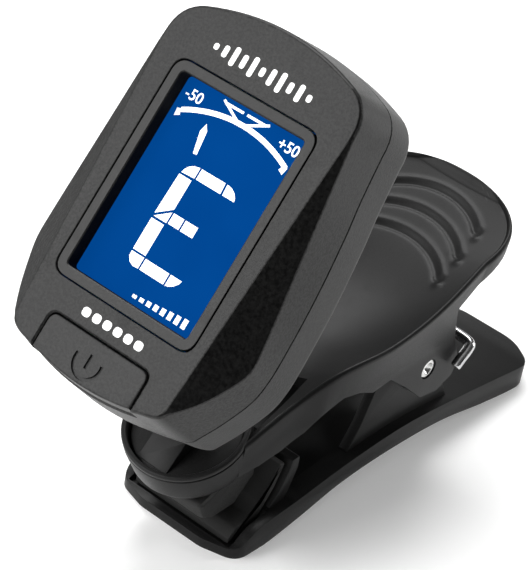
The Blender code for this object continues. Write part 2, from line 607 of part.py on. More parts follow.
def lower_plan():
    nose, tail, half = NOSE, TAIL, LOWER_HALF
    corners = [(-half, nose + 1.3 * MM), (-half / 2, nose), (half / 2, nose), (half, nose + 1.3 * MM),
               (half, tail - 3.2 * MM), (half / 2, tail), (-half / 2, tail), (-half, tail - 3.2 * MM)]
    return round_corners(corners, [2.4 * MM, 8 * MM, 8 * MM, 2.4 * MM, 4 * MM, 9 * MM, 9 * MM, 4 * MM], 4)


def band(low, high, start, end, steps, lift_low=0.0, lift_high=0.0):
    """A side view between two smooth lines that are given above the ground."""
    ys = [start + (end - start) * k / steps for k in range(steps + 1)]
    under = [(y, GROUND + smooth_line(low, y) + lift_low) for y in ys]
    over = [(y, GROUND + smooth_line(high, y) + lift_high) for y in reversed(ys)]
    return under + over


def lower_arm():
    arm = add("lower_arm", prism(lower_plan(), GROUND - MM, GROUND + 9 * MM), ARM, hinge)
    side_view = side_prism(band(UNDERSIDE, RIM_TOP, NOSE - 0.01 * MM, TAIL + 0.01 * MM, 30), -15 * MM, 15 * MM)
    boolean(arm, side_view, "INTERSECT", "side view")
    tray_half = LOWER_HALF - 1.3 * MM
    tray = band(UNDERSIDE, RIM_TOP, NOSE + 1.2 * MM, -25 * MM, 6, 0.8 * MM, 6 * MM)
    boolean(arm, side_prism(tray, -tray_half, tray_half), name="nose tray")
    channel = side_prism(band(UNDERSIDE, RIM_TOP, -20 * MM, 5.5 * MM, 12, 1.3 * MM, 6 * MM), -EAR_IN, EAR_IN)
    boolean(arm, channel, name="channel")
    boolean(arm, side_prism(throat_profile(), -EAR_OUT, EAR_OUT), "UNION", "throat")
    for k, side in enumerate((-1, 1)):
        low, high = sorted((side * EAR_IN, side * EAR_OUT))
        boolean(arm, side_prism(ear_profile(), low, high), "UNION", f"ear {k}")
    boolean(arm, side_prism(circle(HINGE_PIN_R + 0.02 * MM, 24), -15 * MM, 15 * MM), name="hinge hole")
    return arm


def throat_profile():
    """The lower jaw turns up behind its pad, so that nothing slides back into the hinge."""
    front = [(-26.6, 0.9), (-25.0, 2.9), (-23.2, 5.4), (-22.0, 8.0), (-21.8, 9.0)]
    back = [(-20.6, 9.2), (-20.5, 7.6), (-21.6, 4.6), (-23.0, 2.2), (-24.0, 0.6)]
    return [(y * MM, GROUND + z * MM) for y, z in front + back]


def ear_profile():
    top = [(3.6 * MM * cos(a), 3.6 * MM * sin(a)) for a in (radians(-20 + 150 * k / 10) for k in range(11))]
    return top + [(-7.4 * MM, 0.6 * MM), (-9.3 * MM, -4.8 * MM), (-11.5 * MM, GROUND + 4.2 * MM),
                  (-11.5 * MM, GROUND + 3.4 * MM), (8.5 * MM, GROUND + 3.2 * MM), (8.5 * MM, GROUND + 4.2 * MM),
                  (6.6 * MM, -5.6 * MM)]


lower_arm()

pin_half = CHEEK_X - 0.1 * MM
pin = add("hinge_pin", side_prism(circle(HINGE_PIN_R, 24), -pin_half, pin_half), STEEL, hinge)


def lower_pad():
    top = [(-30.6, 1.9), (-29.6, 2.9), (-27.4, 3.6), (-25.8, 4.7), (-24.5, 6.6), (-23.4, 9.0)]
    under = [(-22.4, 8.7), (-23.6, 5.8), (-25.4, 3.2), (-27.2, 1.2), (-30.6, 1.1)]
    return side_prism([(y * MM, GROUND + z * MM) for y, z in top + under], -7.1 * MM, 7.1 * MM)


def upper_pad():
    profile = [(-35.0, 7.5), (-33.6, 5.0), (-32.0, 4.3), (-28.2, 4.5), (-25.4, 7.4), (-25.6, 11.4)]
    return side_prism([(y * MM, GROUND + z * MM) for y, z in profile], -5.4 * MM, 5.4 * MM)


add("lower_pad", lower_pad(), RUBBER, hinge)
pad = add("upper_pad", upper_pad(), RUBBER, hinge)
boolean(pad, prism(circle(3.5 * MM, 20), screw_seat - 1.4 * MM, MM), name="screw pocket", parent=swivel)


def tube(points, radius, count=8):
    """Sweep a round section along a path."""
    loops = []
    up = Vector((1, 0.02, 0.03)).normalized()
    for i, p in enumerate(points):
        ahead = points[min(i + 1, len(points) - 1)] - points[max(i - 1, 0)]
        t = ahead.normalized()
        up = (up - t * up.dot(t)).normalized()
        side = t.cross(up)
        loops.append([p + (up * cos(2 * pi * k / count) + side * sin(2 * pi * k / count)) * radius
                      for k in range(count)])
    return loft(loops)


def spring_path():
    """Lower leg on the arm's floor, coils round the pin, then a hook over the near cheek's rear edge."""
    pitch = 2 * WIRE_R + 0.25 * MM
    start_x = -COIL_TURNS * pitch / 2
    turn = [Vector((start_x + pitch * t, COIL_R * sin(2 * pi * t + pi), COIL_R * cos(2 * pi * t + pi)))
            for t in (k / 14 for k in range(int(COIL_TURNS * 14) + 8))]
    leg = [Vector((start_x, 11.5 * MM, -7.2 * MM)), Vector((start_x, 8 * MM, -6.2 * MM)),
           Vector((start_x, 4 * MM, -4.4 * MM)), Vector((start_x, 1.6 * MM, -3.6 * MM))]
    hook_x = CHEEK_X + WIRE_R + CLEAR
    end_x = turn[-1].x
    hook = [Vector((end_x + 0.3 * MM, 2.4 * MM, 3.3 * MM)), Vector((end_x + 0.8 * MM, 4.8 * MM, 2.7 * MM)),
            Vector((end_x + 1.6 * MM, 6.4 * MM, 1.9 * MM)), Vector((end_x + 2.8 * MM, 7.0 * MM, 1.4 * MM)),
            Vector((CHEEK_X - 1 * MM, 7.0 * MM, 1.3 * MM)), Vector((hook_x - 0.35 * MM, 6.8 * MM, 1.2 * MM)),
            Vector((hook_x, 6.2 * MM, 0.8 * MM)), Vector((hook_x, 5.0 * MM, -0.2 * MM)),
            Vector((hook_x, 4.2 * MM, -0.9 * MM))]
    return leg + turn + hook


add("clip_spring", tube(spring_path(), WIRE_R), STEEL, hinge)
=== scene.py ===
# %% [markdown]
# # A clip-on instrument tuner
# A small display head leans back on a swivelling post, and a sprung clip carries both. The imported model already
# holds every solid in its place, so this lesson dresses it: fine skins for the mouldings, and a finish for each part.

# %% Load the fixed frame
from math import atan2, cos, degrees, exp, pi, radians, sin

import bmesh
import bpy
from mathutils import Matrix, Vector


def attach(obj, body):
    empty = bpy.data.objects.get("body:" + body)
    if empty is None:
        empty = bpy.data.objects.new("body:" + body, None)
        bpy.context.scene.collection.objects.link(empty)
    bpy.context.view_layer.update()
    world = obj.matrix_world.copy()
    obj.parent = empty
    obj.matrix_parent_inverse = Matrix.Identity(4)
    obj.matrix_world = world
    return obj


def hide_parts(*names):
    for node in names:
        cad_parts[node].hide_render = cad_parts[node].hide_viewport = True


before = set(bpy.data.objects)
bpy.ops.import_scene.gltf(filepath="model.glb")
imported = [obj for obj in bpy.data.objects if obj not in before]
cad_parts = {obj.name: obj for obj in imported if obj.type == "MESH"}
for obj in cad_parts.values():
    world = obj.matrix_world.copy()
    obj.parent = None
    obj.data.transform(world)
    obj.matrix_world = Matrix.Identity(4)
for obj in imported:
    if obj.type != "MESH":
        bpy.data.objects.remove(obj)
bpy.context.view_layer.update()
MM = 0.001


def put(name, data):
    """A new object that shows this data."""
    obj = bpy.data.objects.new(name, data)
    bpy.context.scene.collection.objects.link(obj)
    return obj


# %% [markdown]
# ## Camera
# Small products are shown from well back with a long lens, so that parallel edges stay nearly parallel. A camera
# is a matrix: its columns are the directions of its right side, its top and its back, then its place.

# %% Set the camera
CAMERA_PLACE = Vector((0.13405, -0.20455, 0.18361))
CAMERA_UP = Vector((-0.4631, 0.3337, 0.8211))
CAMERA_BACK = Vector((0.4751, -0.6886, 0.5479)).normalized()
LENS, SENSOR = 164.2, 36.0

right = CAMERA_UP.cross(CAMERA_BACK).normalized()
up = CAMERA_BACK.cross(right)
camera = put("camera", bpy.data.cameras.new("camera"))
turned = Matrix((right, up, CAMERA_BACK)).transposed().to_4x4()
camera.matrix_world = Matrix.Translation(CAMERA_PLACE) @ turned
camera.data.lens = LENS
camera.data.sensor_width = SENSOR
camera.data.clip_start = 0.01
bpy.context.scene.camera = camera
print("camera", round(CAMERA_PLACE.length, 3), "m from the origin, lens", LENS, "mm")

# %% [markdown]
# ## Expressions instead of wires
# A finish is easier to read as a sum than as a drawing of nodes. This class wraps one output socket, and Python's
# operators on it add Math nodes. The reflected forms let a plain number stand on the left, as in 0.5 * mask.


# %% A socket that does arithmetic
class Wire:
    def __init__(self, finish, socket):
        self.finish = finish
        self.socket = socket

    def maths(self, operation, first, second):
        return self.finish.node("ShaderNodeMath", {"operation": operation}, {0: first, 1: second})

    def __add__(self, other):
        return self.maths("ADD", self, other)

    def __mul__(self, other):
        return self.maths("MULTIPLY", self, other)

    def __gt__(self, other):
        return self.maths("GREATER_THAN", self, other)

    __radd__ = __add__
    __rmul__ = __mul__


# %% [markdown]
# ## A finish
# Every finish is one Principled shader. One method makes any node: its settings come first, because they decide
# which sockets it has, and then the values or wires of those sockets.


# %% A finish that wires itself
class Finish:
    def __init__(self, name, **sockets):
        self.material = bpy.data.materials.new(name)
        self.material.use_nodes = True
        self.tree = self.material.node_tree
        self.shader = self.tree.nodes["Principled BSDF"]
        self.feed(self.shader, {label.replace("_", " "): value for label, value in sockets.items()})

    def feed(self, node, sockets):
        for key, value in sockets.items():
            if isinstance(value, Wire):
                self.tree.links.new(value.socket, node.inputs[key])
            elif value is not None:
                node.inputs[key].default_value = value

    def node(self, kind, settings=None, sockets=None, out=0):
        made = self.tree.nodes.new(kind)
        for label, value in (settings or {}).items():
            if label == "stops":
                ramp = made.color_ramp.elements
                while len(ramp) < len(value):
                    ramp.new(0.5)
                for stop, (place, grey) in zip(ramp, value):
                    stop.position = place
                    stop.color = (grey, grey, grey, 1)
            else:
                setattr(made, label, value)
        self.feed(made, sockets or {})
        return Wire(self, made.outputs[out])

    def place(self):
        return self.node("ShaderNodeTexCoord", out="Object")

    def noise(self, grain, detail=2.0, stretch=None, rough=0.5):
        """Soft noise whose lumps are about this many metres across."""
        at = self.place()
        if stretch:
            at = self.node("ShaderNodeVectorMath", {"operation": "MULTIPLY"}, {0: at, 1: stretch})
        return self.node("ShaderNodeTexNoise", None,
                         {"Vector": at, "Scale": 1 / grain, "Detail": detail, "Roughness": rough})

    def steps(self, value, *stops):
        return self.node("ShaderNodeValToRGB", {"stops": stops}, {0: value})

    def mix(self, share, first, second):
        """A colour between two colours."""
        return self.node("ShaderNodeMix", {"data_type": "RGBA"}, {0: share, 6: colour(first), 7: colour(second)}, 2)

    def edges(self):
        """Lighter along the outer rims: partly rubbed bare, partly a painted highlight."""
        bend = self.node("ShaderNodeNewGeometry", out="Pointiness")
        return self.steps(bend, (0.51, 0.0), (0.6, 1.0))

    def bump(self, height, depth, strength=1.0):
        raised = self.node("ShaderNodeBump", None, {"Height": height, "Distance": depth, "Strength": strength})
        self.feed(self.shader, {"Normal": raised})

    def paint(self, **sockets):
        self.feed(self.shader, {label.replace("_", " "): value for label, value in sockets.items()})
        return self.material


def colour(value):
    return value if isinstance(value, Wire) or value is None or len(value) == 4 else (*value, 1)


print("the two helper classes are ready")

# %% [markdown]
# ## Moulded plastic
# The case is ABS from a spark-eroded mould, which prints a fine, even grain of pits on it. The grain breaks up
# the gloss, so a black case looks mid grey where it faces the light. The same recipe with a finer grain and a
# lower roughness makes the clip's satin plastic and the rubber pads.


# %% Mix the moulded finishes
def moulded(name, dark, light, grain, depth, gloss, spread=0.15, specular=0.5, rim_wear_and_highlight_share=0.0):
    finish = Finish(name, Specular_IOR_Level=specular)
    pits = finish.noise(grain, 3.0, rough=0.65)
    cloud = finish.noise(grain * 28, 2.0)
    scuffs = finish.steps(finish.noise(grain * 9, 4.0, (1.0, 0.25, 1.0)), (0.6, 0.0), (0.75, 1.0))
    specks = finish.steps(pits, (0.36, 0.0), (0.64, 1.0))
    tone = finish.mix(specks * 0.75 + cloud * 0.25, dark, light)
    # Outer rims are lightened by the pointiness mask: partly wear, partly a painted highlight.
    if rim_wear_and_highlight_share:
        worn_and_highlit_tone = tuple(min(4.0 * value + 0.02, 1.0) for value in light)
        tone = finish.mix(finish.edges() * cloud * rim_wear_and_highlight_share, tone, worn_and_highlit_tone)
    finish.bump(pits + scuffs * 0.08, depth)
    rough = finish.steps(pits, (0.3, gloss), (0.7, gloss + spread))
    return finish.paint(Base_Color=tone, Roughness=rough + scuffs * 0.05)


DEEP_BLACK = (0.001, 0.001, 0.001)
CASE_GREY = (0.036, 0.036, 0.0355)
# How much the outer rims are lightened: partly wear, partly a painted highlight.
RIM_WEAR_AND_HIGHLIGHT = 0.5
SHELL = moulded("grained case plastic", DEEP_BLACK, CASE_GREY, 0.28 * MM, 0.026 * MM, 0.36, specular=0.2)
KEY = moulded("grained key plastic", DEEP_BLACK, CASE_GREY, 0.28 * MM, 0.026 * MM, 0.36, specular=0.22)
# The slanted facets take a darker copy of the case plastic, with a coarser grain: the darkness is painted shade.
FACET_WITH_PAINTED_SHADE = moulded("grained flank plastic with painted shade", (0.0, 0.0, 0.0), (0.008, 0.008, 0.0078), 0.42 * MM, 0.05 * MM, 0.4,
                specular=0.1)
FRAME_PLASTIC = moulded("display frame plastic", (0.008, 0.008, 0.008), (0.02, 0.02, 0.0196), 0.26 * MM, 0.01 * MM,
                        0.34, specular=0.24)
# Near-black finish for the window's inner walls: painted shade.
SHADE = moulded("painted shade on window walls", DEEP_BLACK, (0.004, 0.004, 0.004), 0.2 * MM, 0.005 * MM, 0.6, specular=0.05,
                rim_wear_and_highlight_share=RIM_WEAR_AND_HIGHLIGHT)
ARM = moulded("satin clip plastic", (0.005, 0.005, 0.005), (0.011, 0.011, 0.011), 0.2 * MM, 0.006 * MM, 0.36, 0.12,
              specular=0.15, rim_wear_and_highlight_share=RIM_WEAR_AND_HIGHLIGHT)
PAD = moulded("pad rubber", (0.006, 0.006, 0.006), (0.012, 0.012, 0.0116), 0.3 * MM, 0.03 * MM, 0.62, 0.2, 0.3, RIM_WEAR_AND_HIGHLIGHT)
SWITCH = moulded("switch body plastic", (0.02, 0.02, 0.02), (0.04, 0.04, 0.04), 0.15 * MM, 0.01 * MM, 0.4, rim_wear_and_highlight_share=RIM_WEAR_AND_HIGHLIGHT)
CHIP = moulded("chip resin", (0.01, 0.01, 0.011), (0.03, 0.03, 0.032), 0.08 * MM, 0.01 * MM, 0.5, rim_wear_and_highlight_share=RIM_WEAR_AND_HIGHLIGHT)
print("moulded finishes:", len(bpy.data.materials))

# %% [markdown]
# ## Metals
# The pins and the spring are drawn wire and turned rod: fine scratches run along them. The battery's can is
# nickel plate, and its contacts are plated bronze strip. A stretched noise gives each its direction.


# %% Mix the metals
def brushed(name, tint, stretch, gloss, grain=0.05 * MM, depth=0.004 * MM):
    finish = Finish(name, Metallic=1.0)
    lines = finish.noise(grain, 3.0, stretch)
    cloud = finish.noise(1.2 * MM, 2.0)
    dull = tuple(value * 0.62 for value in tint)
    tone = finish.mix(lines * 0.6 + cloud * 0.4, dull, tint)
    # Rims are lightened towards white: partly wear, partly a painted highlight.
    tone = finish.mix(finish.edges() * 0.5, tone, (0.95, 0.95, 0.93))
    finish.bump(lines, depth)
    return finish.paint(Base_Color=tone, Roughness=gloss + cloud * 0.12)


STEEL = brushed("turned steel", (0.72, 0.72, 0.71), (0.1, 1.0, 1.0), 0.2)
SPRING = brushed("drawn spring wire", (0.6, 0.6, 0.61), (1.0, 0.3, 1.0), 0.16)
NICKEL = brushed("nickel battery can", (0.75, 0.74, 0.7), (1.0, 0.1, 0.1), 0.24)
CONTACT = brushed("plated contact strip", (0.85, 0.66, 0.32), (0.2, 1.0, 1.0), 0.22)
BRASS = brushed("sensor brass", (0.8, 0.6, 0.28), (1.0, 0.3, 1.0), 0.3)
print("metals are mixed")

# %% [markdown]
# ## Display, print and electronics
# The display is a blue liquid crystal panel lit from behind: its ground glows evenly, with a faint matrix in it,
# and its segments let the white light through. The marks on the case are screen-printed ink, which is a little
# uneven in its thickness, and the ink is given a faint painted glow. Inside are a green laminate board, a milky light
# guide and a striped rubber connector.

# %% Mix the display's finishes
glow = Finish("lit blue display", Emission_Strength=0.88, Specular_IOR_Level=0.02, IOR=1.1, Roughness=0.45)
drift = glow.noise(6 * MM, 1.0)
matrix = glow.node("ShaderNodeTexChecker", None, {"Vector": glow.place(), "Scale": 1 / (0.12 * MM)}, 1)
blue = glow.mix(drift * 0.6 + matrix * 0.06, (0.0, 0.062, 0.29), (0.001, 0.078, 0.34))
DISPLAY = glow.paint(Base_Color=glow.mix(drift, (0.0, 0.004, 0.02), (0.0, 0.006, 0.03)), Emission_Color=blue)

lit = Finish("lit segment", Emission_Strength=0.85, Roughness=0.35)
SEGMENT = lit.paint(Base_Color=lit.mix(lit.noise(2 * MM), (0.75, 0.77, 0.78), (0.86, 0.87, 0.87)),
                    Emission_Color=lit.mix(lit.noise(0.5 * MM), (0.9, 0.95, 1.0), (1.0, 1.0, 1.0)))

# The emission here is a painted glow: the ink is no lamp.
ink = Finish("printed white ink with painted glow", Emission_Strength=0.35, Roughness=0.5)
film = ink.noise(0.12 * MM, 3.0)
ink.bump(film, 0.01 * MM)
INK_WITH_PAINTED_GLOW = ink.paint(Base_Color=ink.mix(film, (0.8, 0.8, 0.79), (0.92, 0.92, 0.91)),
                Emission_Color=ink.mix(film, (0.8, 0.8, 0.8), (1.0, 1.0, 1.0)))

guide = Finish("milky light guide", Emission_Strength=0.1, Roughness=0.35)
DIFFUSER = guide.paint(Base_Color=guide.mix(guide.noise(0.8 * MM), (0.75, 0.8, 0.84), (0.88, 0.9, 0.92)))

stripes = Finish("striped connector rubber", Roughness=0.7)
bands = stripes.node("ShaderNodeTexWave", None, {"Vector": stripes.place(), "Scale": 1 / (1.2 * MM)}, 1)
CONNECTOR = stripes.paint(Base_Color=stripes.mix(bands > 0.5, (0.03, 0.03, 0.03), (0.5, 0.5, 0.48)))

mask = Finish("green board laminate", Roughness=0.35, Coat_Weight=0.4)
glass = mask.node("ShaderNodeTexBrick", None, {"Vector": mask.place(), "Scale": 1 / (1.6 * MM)}, 1)
tracks = mask.steps(mask.noise(2.2 * MM, 1.0, (1.0, 0.3, 1.0)), (0.49, 0.0), (0.51, 1.0))
mask.bump(tracks + glass * 0.2, 0.02 * MM)
BOARD = mask.paint(Base_Color=mask.mix(tracks, (0.012, 0.1, 0.04), (0.03, 0.2, 0.08)))
print("finishes in all:", len(bpy.data.materials))

# %% [markdown]
# ## Ground, room and lamps
# The tuner stands on plain white. A big pale floor does that, and one soft sky lights it: bright from the
# front left and above, dark to the right, so that the head's right side falls away. The floor has a faint glow of
# its own, which keeps it white. A lamp behind draws thin lines of light along the rims.

# %% Lay the floor
FLOOR_HALF = 3.0
floor_paint = Finish("matt floor paint", Roughness=0.8, Specular_IOR_Level=0.2, Emission_Strength=0.22)
floor_tone = floor_paint.mix(floor_paint.noise(0.4), (0.86, 0.86, 0.86), (0.89, 0.89, 0.885))
bm = bmesh.new()
bm.faces.new([bm.verts.new((x * FLOOR_HALF, y * FLOOR_HALF, 0)) for x, y in ((-1, -1), (1, -1), (1, 1), (-1, 1))])
floor_mesh = bpy.data.meshes.new("floor")
bm.to_mesh(floor_mesh)
bm.free()
floor = put("floor", floor_mesh)
floor_mesh.materials.append(floor_paint.paint(Base_Color=floor_tone, Emission_Color=floor_tone))

# %% Light the room
bpy.context.scene.view_settings.view_transform = "Standard"
world = bpy.data.worlds.new("studio")
bpy.context.scene.world = world
world.use_nodes = True
sky = world.node_tree
SKY_FROM = Vector((-0.475, -0.719, 0.508)).normalized()
SKY_BRIGHTEST = 2.0
SKY_STOPS = ((0.3, 0.02), (0.6, 0.05), (0.82, 0.2), (1.0, 1.0))
facing = sky.nodes.new("ShaderNodeTexCoord")
toward = sky.nodes.new("ShaderNodeVectorMath")
toward.operation = "DOT_PRODUCT"
toward.inputs[1].default_value = SKY_FROM * 0.5
shifted = sky.nodes.new("ShaderNodeMath")
shifted.inputs[1].default_value = 0.5
shades = sky.nodes.new("ShaderNodeValToRGB")
shades.color_ramp.elements.new(0.4)
shades.color_ramp.elements.new(0.6)
for stop, (place, grey) in zip(shades.color_ramp.elements, SKY_STOPS):
    stop.position = place
    stop.color = (grey, grey, grey, 1)
sky.links.new(facing.outputs["Generated"], toward.inputs[0])
sky.links.new(toward.outputs["Value"], shifted.inputs[0])
sky.links.new(shifted.outputs[0], shades.inputs[0])
sky.links.new(shades.outputs[0], sky.nodes["Background"].inputs["Color"])
sky.nodes["Background"].inputs["Strength"].default_value = SKY_BRIGHTEST


def lamp(name, place, target, size, watts):
    data = bpy.data.lights.new(name, "AREA")
    data.shape = "RECTANGLE"
    data.size, data.size_y = size
    data.energy = watts
    obj = put(name, data)
    obj.location = place
    obj.rotation_euler = (Vector(place) - Vector(target)).to_track_quat("Z", "Y").to_euler()
    return obj


MIDDLE = (0, 0, 0.03)
lamp("key softbox", SKY_FROM * 0.9 + Vector((0, 0, 0.03)), MIDDLE, (0.5, 0.5), 4.0)
lamp("top softbox", (-0.45, 0.45, 1.0), MIDDLE, (0.7, 0.7), 13.5)
lamp("rim strip", (0.5, 0.75, 0.35), MIDDLE, (0.15, 0.5), 3.0)

# %% [markdown]
# ## Tools for outlines
# A moulding is an outline that changes a little with its depth. These helpers draw outlines, round their corners,
# shrink them, and skin one after another into a closed shape. No corner is left dead sharp, because a real edge
# always has a small round that catches the light.


# %% Outline helpers
def rounded(chain, radii, steps=3):
    """The same chain of points, with a small arc in place of each inner point that has a radius."""
    out = []
    for k, here in enumerate(chain):
        if radii[k] <= 0:
            out.append(here)
            continue
        before, after = chain[k - 1] - here, chain[(k + 1) % len(chain)] - here
        start = here + before.normalized() * min(radii[k], before.length * 0.48)
        end = here + after.normalized() * min(radii[k], after.length * 0.48)
        for i in range(steps + 1):
            t = i / steps
            out.append(start.lerp(here, t).lerp(here.lerp(end, t), t))
    return out


def round_corners(corners, radius, steps=6):
    """A closed outline with arcs that touch both sides of each corner."""
    corners = [Vector(c) for c in corners]
    radii = radius if isinstance(radius, (list, tuple)) else [radius] * len(corners)
    reaches = []
    for k, here in enumerate(corners):
        half = (corners[k - 1] - here).angle(corners[(k + 1) % len(corners)] - here) / 2
        reaches.append(radii[k] * cos(half) / sin(half))
    return rounded(corners, reaches, steps)


def rounded_rect(width, height, radius, steps=6, centre=(0, 0)):
    x, y = width / 2, height / 2
    cx, cy = centre
    return round_corners([(cx - x, cy - y), (cx + x, cy - y), (cx + x, cy + y), (cx - x, cy + y)], radius, steps)


def circle(radius, count=64, centre=(0, 0)):
    return [Vector((centre[0] + radius * cos(2 * pi * k / count), centre[1] + radius * sin(2 * pi * k / count)))
            for k in range(count)]


def shrink(outline, by):
    """Move each point of a closed outline inwards."""
    count = len(outline)
    points = [Vector(p) for p in outline]
    area = sum(points[k - 1].cross(points[k]) for k in range(count))
    turn = 1 if area > 0 else -1
    out = []
    for k, here in enumerate(points):
        a = (here - points[k - 1]).normalized()
        b = (points[(k + 1) % count] - here).normalized()
        along = (a + b).normalized() if (a + b).length > 1e-6 else a
        reach = by / max(along.dot(b), 0.35)
        out.append(here + Vector((-along.y, along.x)) * turn * reach)
    return out


def smooth_line(points, at):
    """Height of a smooth curve through a few points, at a place along them."""
    at = min(max(at, points[0][0]), points[-1][0])
    k = next(i for i in range(len(points) - 1) if at <= points[i + 1][0])
    before, after = max(k - 1, 0), min(k + 2, len(points) - 1)
    (x1, y1), (x2, y2) = points[k], points[k + 1]
    m1 = (y2 - points[before][1]) / (x2 - points[before][0])
    m2 = (points[after][1] - y1) / (points[after][0] - x1)
    t = (at - x1) / (x2 - x1)
    span = x2 - x1
    return ((2 * t ** 3 - 3 * t ** 2 + 1) * y1 + (t ** 3 - 2 * t ** 2 + t) * span * m1
            + (3 * t ** 2 - 2 * t ** 3) * y2 + (t ** 3 - t ** 2) * span * m2)


# %% Skinning helpers
WELD = 0.002 * MM


def skin(loops):
    """Skin closed loops of equal length and close both ends."""
    bm = bmesh.new()
    rings = [[bm.verts.new(p) for p in loop] for loop in loops]
    for a, b in zip(rings, rings[1:]):
        for i in range(len(a)):
            j = (i + 1) % len(a)
            bm.faces.new((a[i], a[j], b[j], b[i]))
    bm.faces.new(rings[0])
    bm.faces.new(list(reversed(rings[-1])))
    bmesh.ops.remove_doubles(bm, verts=bm.verts, dist=WELD)
    bmesh.ops.recalc_face_normals(bm, faces=bm.faces)
    return bm


def from_mm(*points):
    return [Vector(p) * MM for p in points]


def at_height(outline, z):
    return [(p[0], p[1], z) for p in outline]


def at_side(outline, x):
    return [(x, p[0], p[1]) for p in outline]


def slab(outline, low, high, edge=0.0, lay=at_height, both=True):
    """A plate between two heights, with its rims cut back by a small edge."""
    if not edge:
        return skin([lay(outline, low), lay(outline, high)])
    slim, mid = shrink(outline, edge), shrink(outline, edge * 0.3)
    foot = [lay(slim, low), lay(mid, low + edge * 0.3), lay(outline, low + edge)] if both else [lay(outline, low)]
    return skin(foot + [lay(outline, high - edge), lay(mid, high - edge * 0.3), lay(slim, high)])


def flared(outline, low, face, edge, lip=1 * MM):
    """A cutter that opens out where it leaves the face, so that the cut has a small edge."""
    return skin([at_height(outline, low), at_height(outline, face - edge), at_height(shrink(outline, -edge), face),
                 at_height(shrink(outline, -edge), face + lip)])


def lathe(profile, count=96):
    """Turn a profile of radius and height round the local Z axis."""
    return skin([[(r * cos(2 * pi * k / count), r * sin(2 * pi * k / count), z) for k in range(count)]
                 for r, z in profile])


# %% Pieces and cuts
def piece(name, bm, finish, place=None, crease=35):
    mesh = bpy.data.meshes.new(name)
    bm.to_mesh(mesh)
    bm.free()
    if place:
        mesh.transform(place)
    obj = put(name, mesh)
    if finish:
        mesh.materials.append(finish)
    mesh.shade_smooth()
    mesh.set_sharp_from_angle(angle=radians(crease))
    return obj


def bake_modifiers(obj):
    bpy.context.view_layer.update()
    graph = bpy.context.evaluated_depsgraph_get()
    mesh = bpy.data.meshes.new_from_object(obj.evaluated_get(graph))
    old = obj.data
    obj.modifiers.clear()
    obj.data = mesh
    bpy.data.meshes.remove(old)


def carve(obj, bm, operation="DIFFERENCE", place=None):
    """Cut a shape from a piece, or join it on, and keep the plain result."""
    tool = piece("tool", bm, None, place)
    change = obj.modifiers.new("carve", "BOOLEAN")
    change.object = tool
    change.operation = operation
    change.solver = "EXACT"
    bake_modifiers(obj)
    spare = tool.data
    bpy.data.objects.remove(tool)
    bpy.data.meshes.remove(spare)
    return obj


def ease(obj, width, angle=38, weld=0.02 * MM):
    """Round what a cut left sharp."""
    bm = bmesh.new()
    bm.from_mesh(obj.data)
    bmesh.ops.remove_doubles(bm, verts=bm.verts, dist=weld)
    bm.to_mesh(obj.data)
    bm.free()
    soften = obj.modifiers.new("ease", "BEVEL")
    soften.width = width
    soften.segments = 2
    soften.limit_method = "ANGLE"
    soften.angle_limit = radians(angle)
    soften.use_clamp_overlap = True
    soften.harden_normals = False
    bake_modifiers(obj)
    return obj


def settle(obj, body, slot, *nodes, crease=32, flat=False):
    """Shade a finished piece, and hang it on its body in place of its plain solids."""
    obj.data.shade_smooth()
    obj.data.set_sharp_from_angle(angle=radians(crease))
    if flat:
        weigh = obj.modifiers.new("even light on flat faces", "WEIGHTED_NORMAL")
        weigh.keep_sharp = True
    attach(obj, body)
    if nodes:
        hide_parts(*nodes)
    print(f"{obj.name}: {len(obj.data.polygons)} faces on {body}")
    return obj


# %% [markdown]
# ## Where things are
# The head tilts about a pin on top of the swivel post, the post turns in a cup at the clip's nose, and the clip
# opens about its hinge. Each has its own set of axes, so that its shapes can be drawn square on.

# %% Place the axes
HINGE = Vector((0, 12.5 * MM, 13.0 * MM))
CUP = Vector((0, -20.1 * MM, 14.6 * MM))
ARM_PITCH = radians(24)
HEAD_LEAN = radians(53)
PIVOT_RISE = 10.0 * MM
PIVOT_TO_FACE = 15.8 * MM
PIVOT_BELOW_MIDDLE = 15.9 * MM

IN_CUP = Matrix.Translation(CUP) @ Matrix.Rotation(ARM_PITCH, 4, "X")
pivot = CUP + Vector((0, -sin(ARM_PITCH), cos(ARM_PITCH))) * PIVOT_RISE
IN_HEAD = (Matrix.Translation(pivot) @ Matrix.Rotation(HEAD_LEAN, 4, "X")
           @ Matrix.Translation((0, PIVOT_BELOW_MIDDLE, PIVOT_TO_FACE)))
IN_CLIP = Matrix.Translation(HINGE)
CUP_IN_CLIP = IN_CLIP.inverted() @ IN_CUP
print("display middle at", [round(v * 1000, 1) for v in IN_HEAD.translation], "mm")

# %% [markdown]
# ## The head's outline
# Seen from the front the head is a violin-like shield: a gently arched top, sides that widen downwards, and rounded
# lower corners. Three lines make it: the edge of the flat face, the outer edge of the slanted side facet, and the
# wall behind. Smooth curves run through the few heights at which each is known.

# %% Draw the outline
FACE_TOP, FACE_BOTTOM = 20.2 * MM, 21.4 * MM
END_ARC_R = 28 * MM
SHOULDER_V, ANKLE_V = 14.2 * MM, -19.0 * MM
FACE_HALF = (12.5 * MM, 10.5 * MM)
FACET_EDGE = [(14.2, 12.75), (2.0, 13.9), (-9.2, 14.95), (-11.2, 14.9), (-13.6, 14.0), (-16.3, 12.6), (-19.0, 10.6)]
FACET_SLOPE = 0.72                              # one slope all along keeps the facet flat
WALL_LINE = [(14.2, 12.95), (9.3, 13.5), (5.4, 14.1), (-1.2, 14.8), (-7.0, 15.1), (-10.4, 15.1), (-13.0, 14.65),
             (-16.7, 12.9), (-19.0, 11.5)]
TOP_GROWTH, BOTTOM_GROWTH = 0.5 * MM, 1.0 * MM
FRONT_DEPTH, HEAD_DEPTH = 6.9 * MM, 12.4 * MM
HEAD_WALL, FACE_WALL = 1.4 * MM, 1.5 * MM
SEAM, CLEAR = 0.15 * MM, 0.3 * MM
facet_half = [(-v * MM, half * MM) for v, half in FACET_EDGE]
wall_half = [(-v * MM, half * MM) for v, half in WALL_LINE]


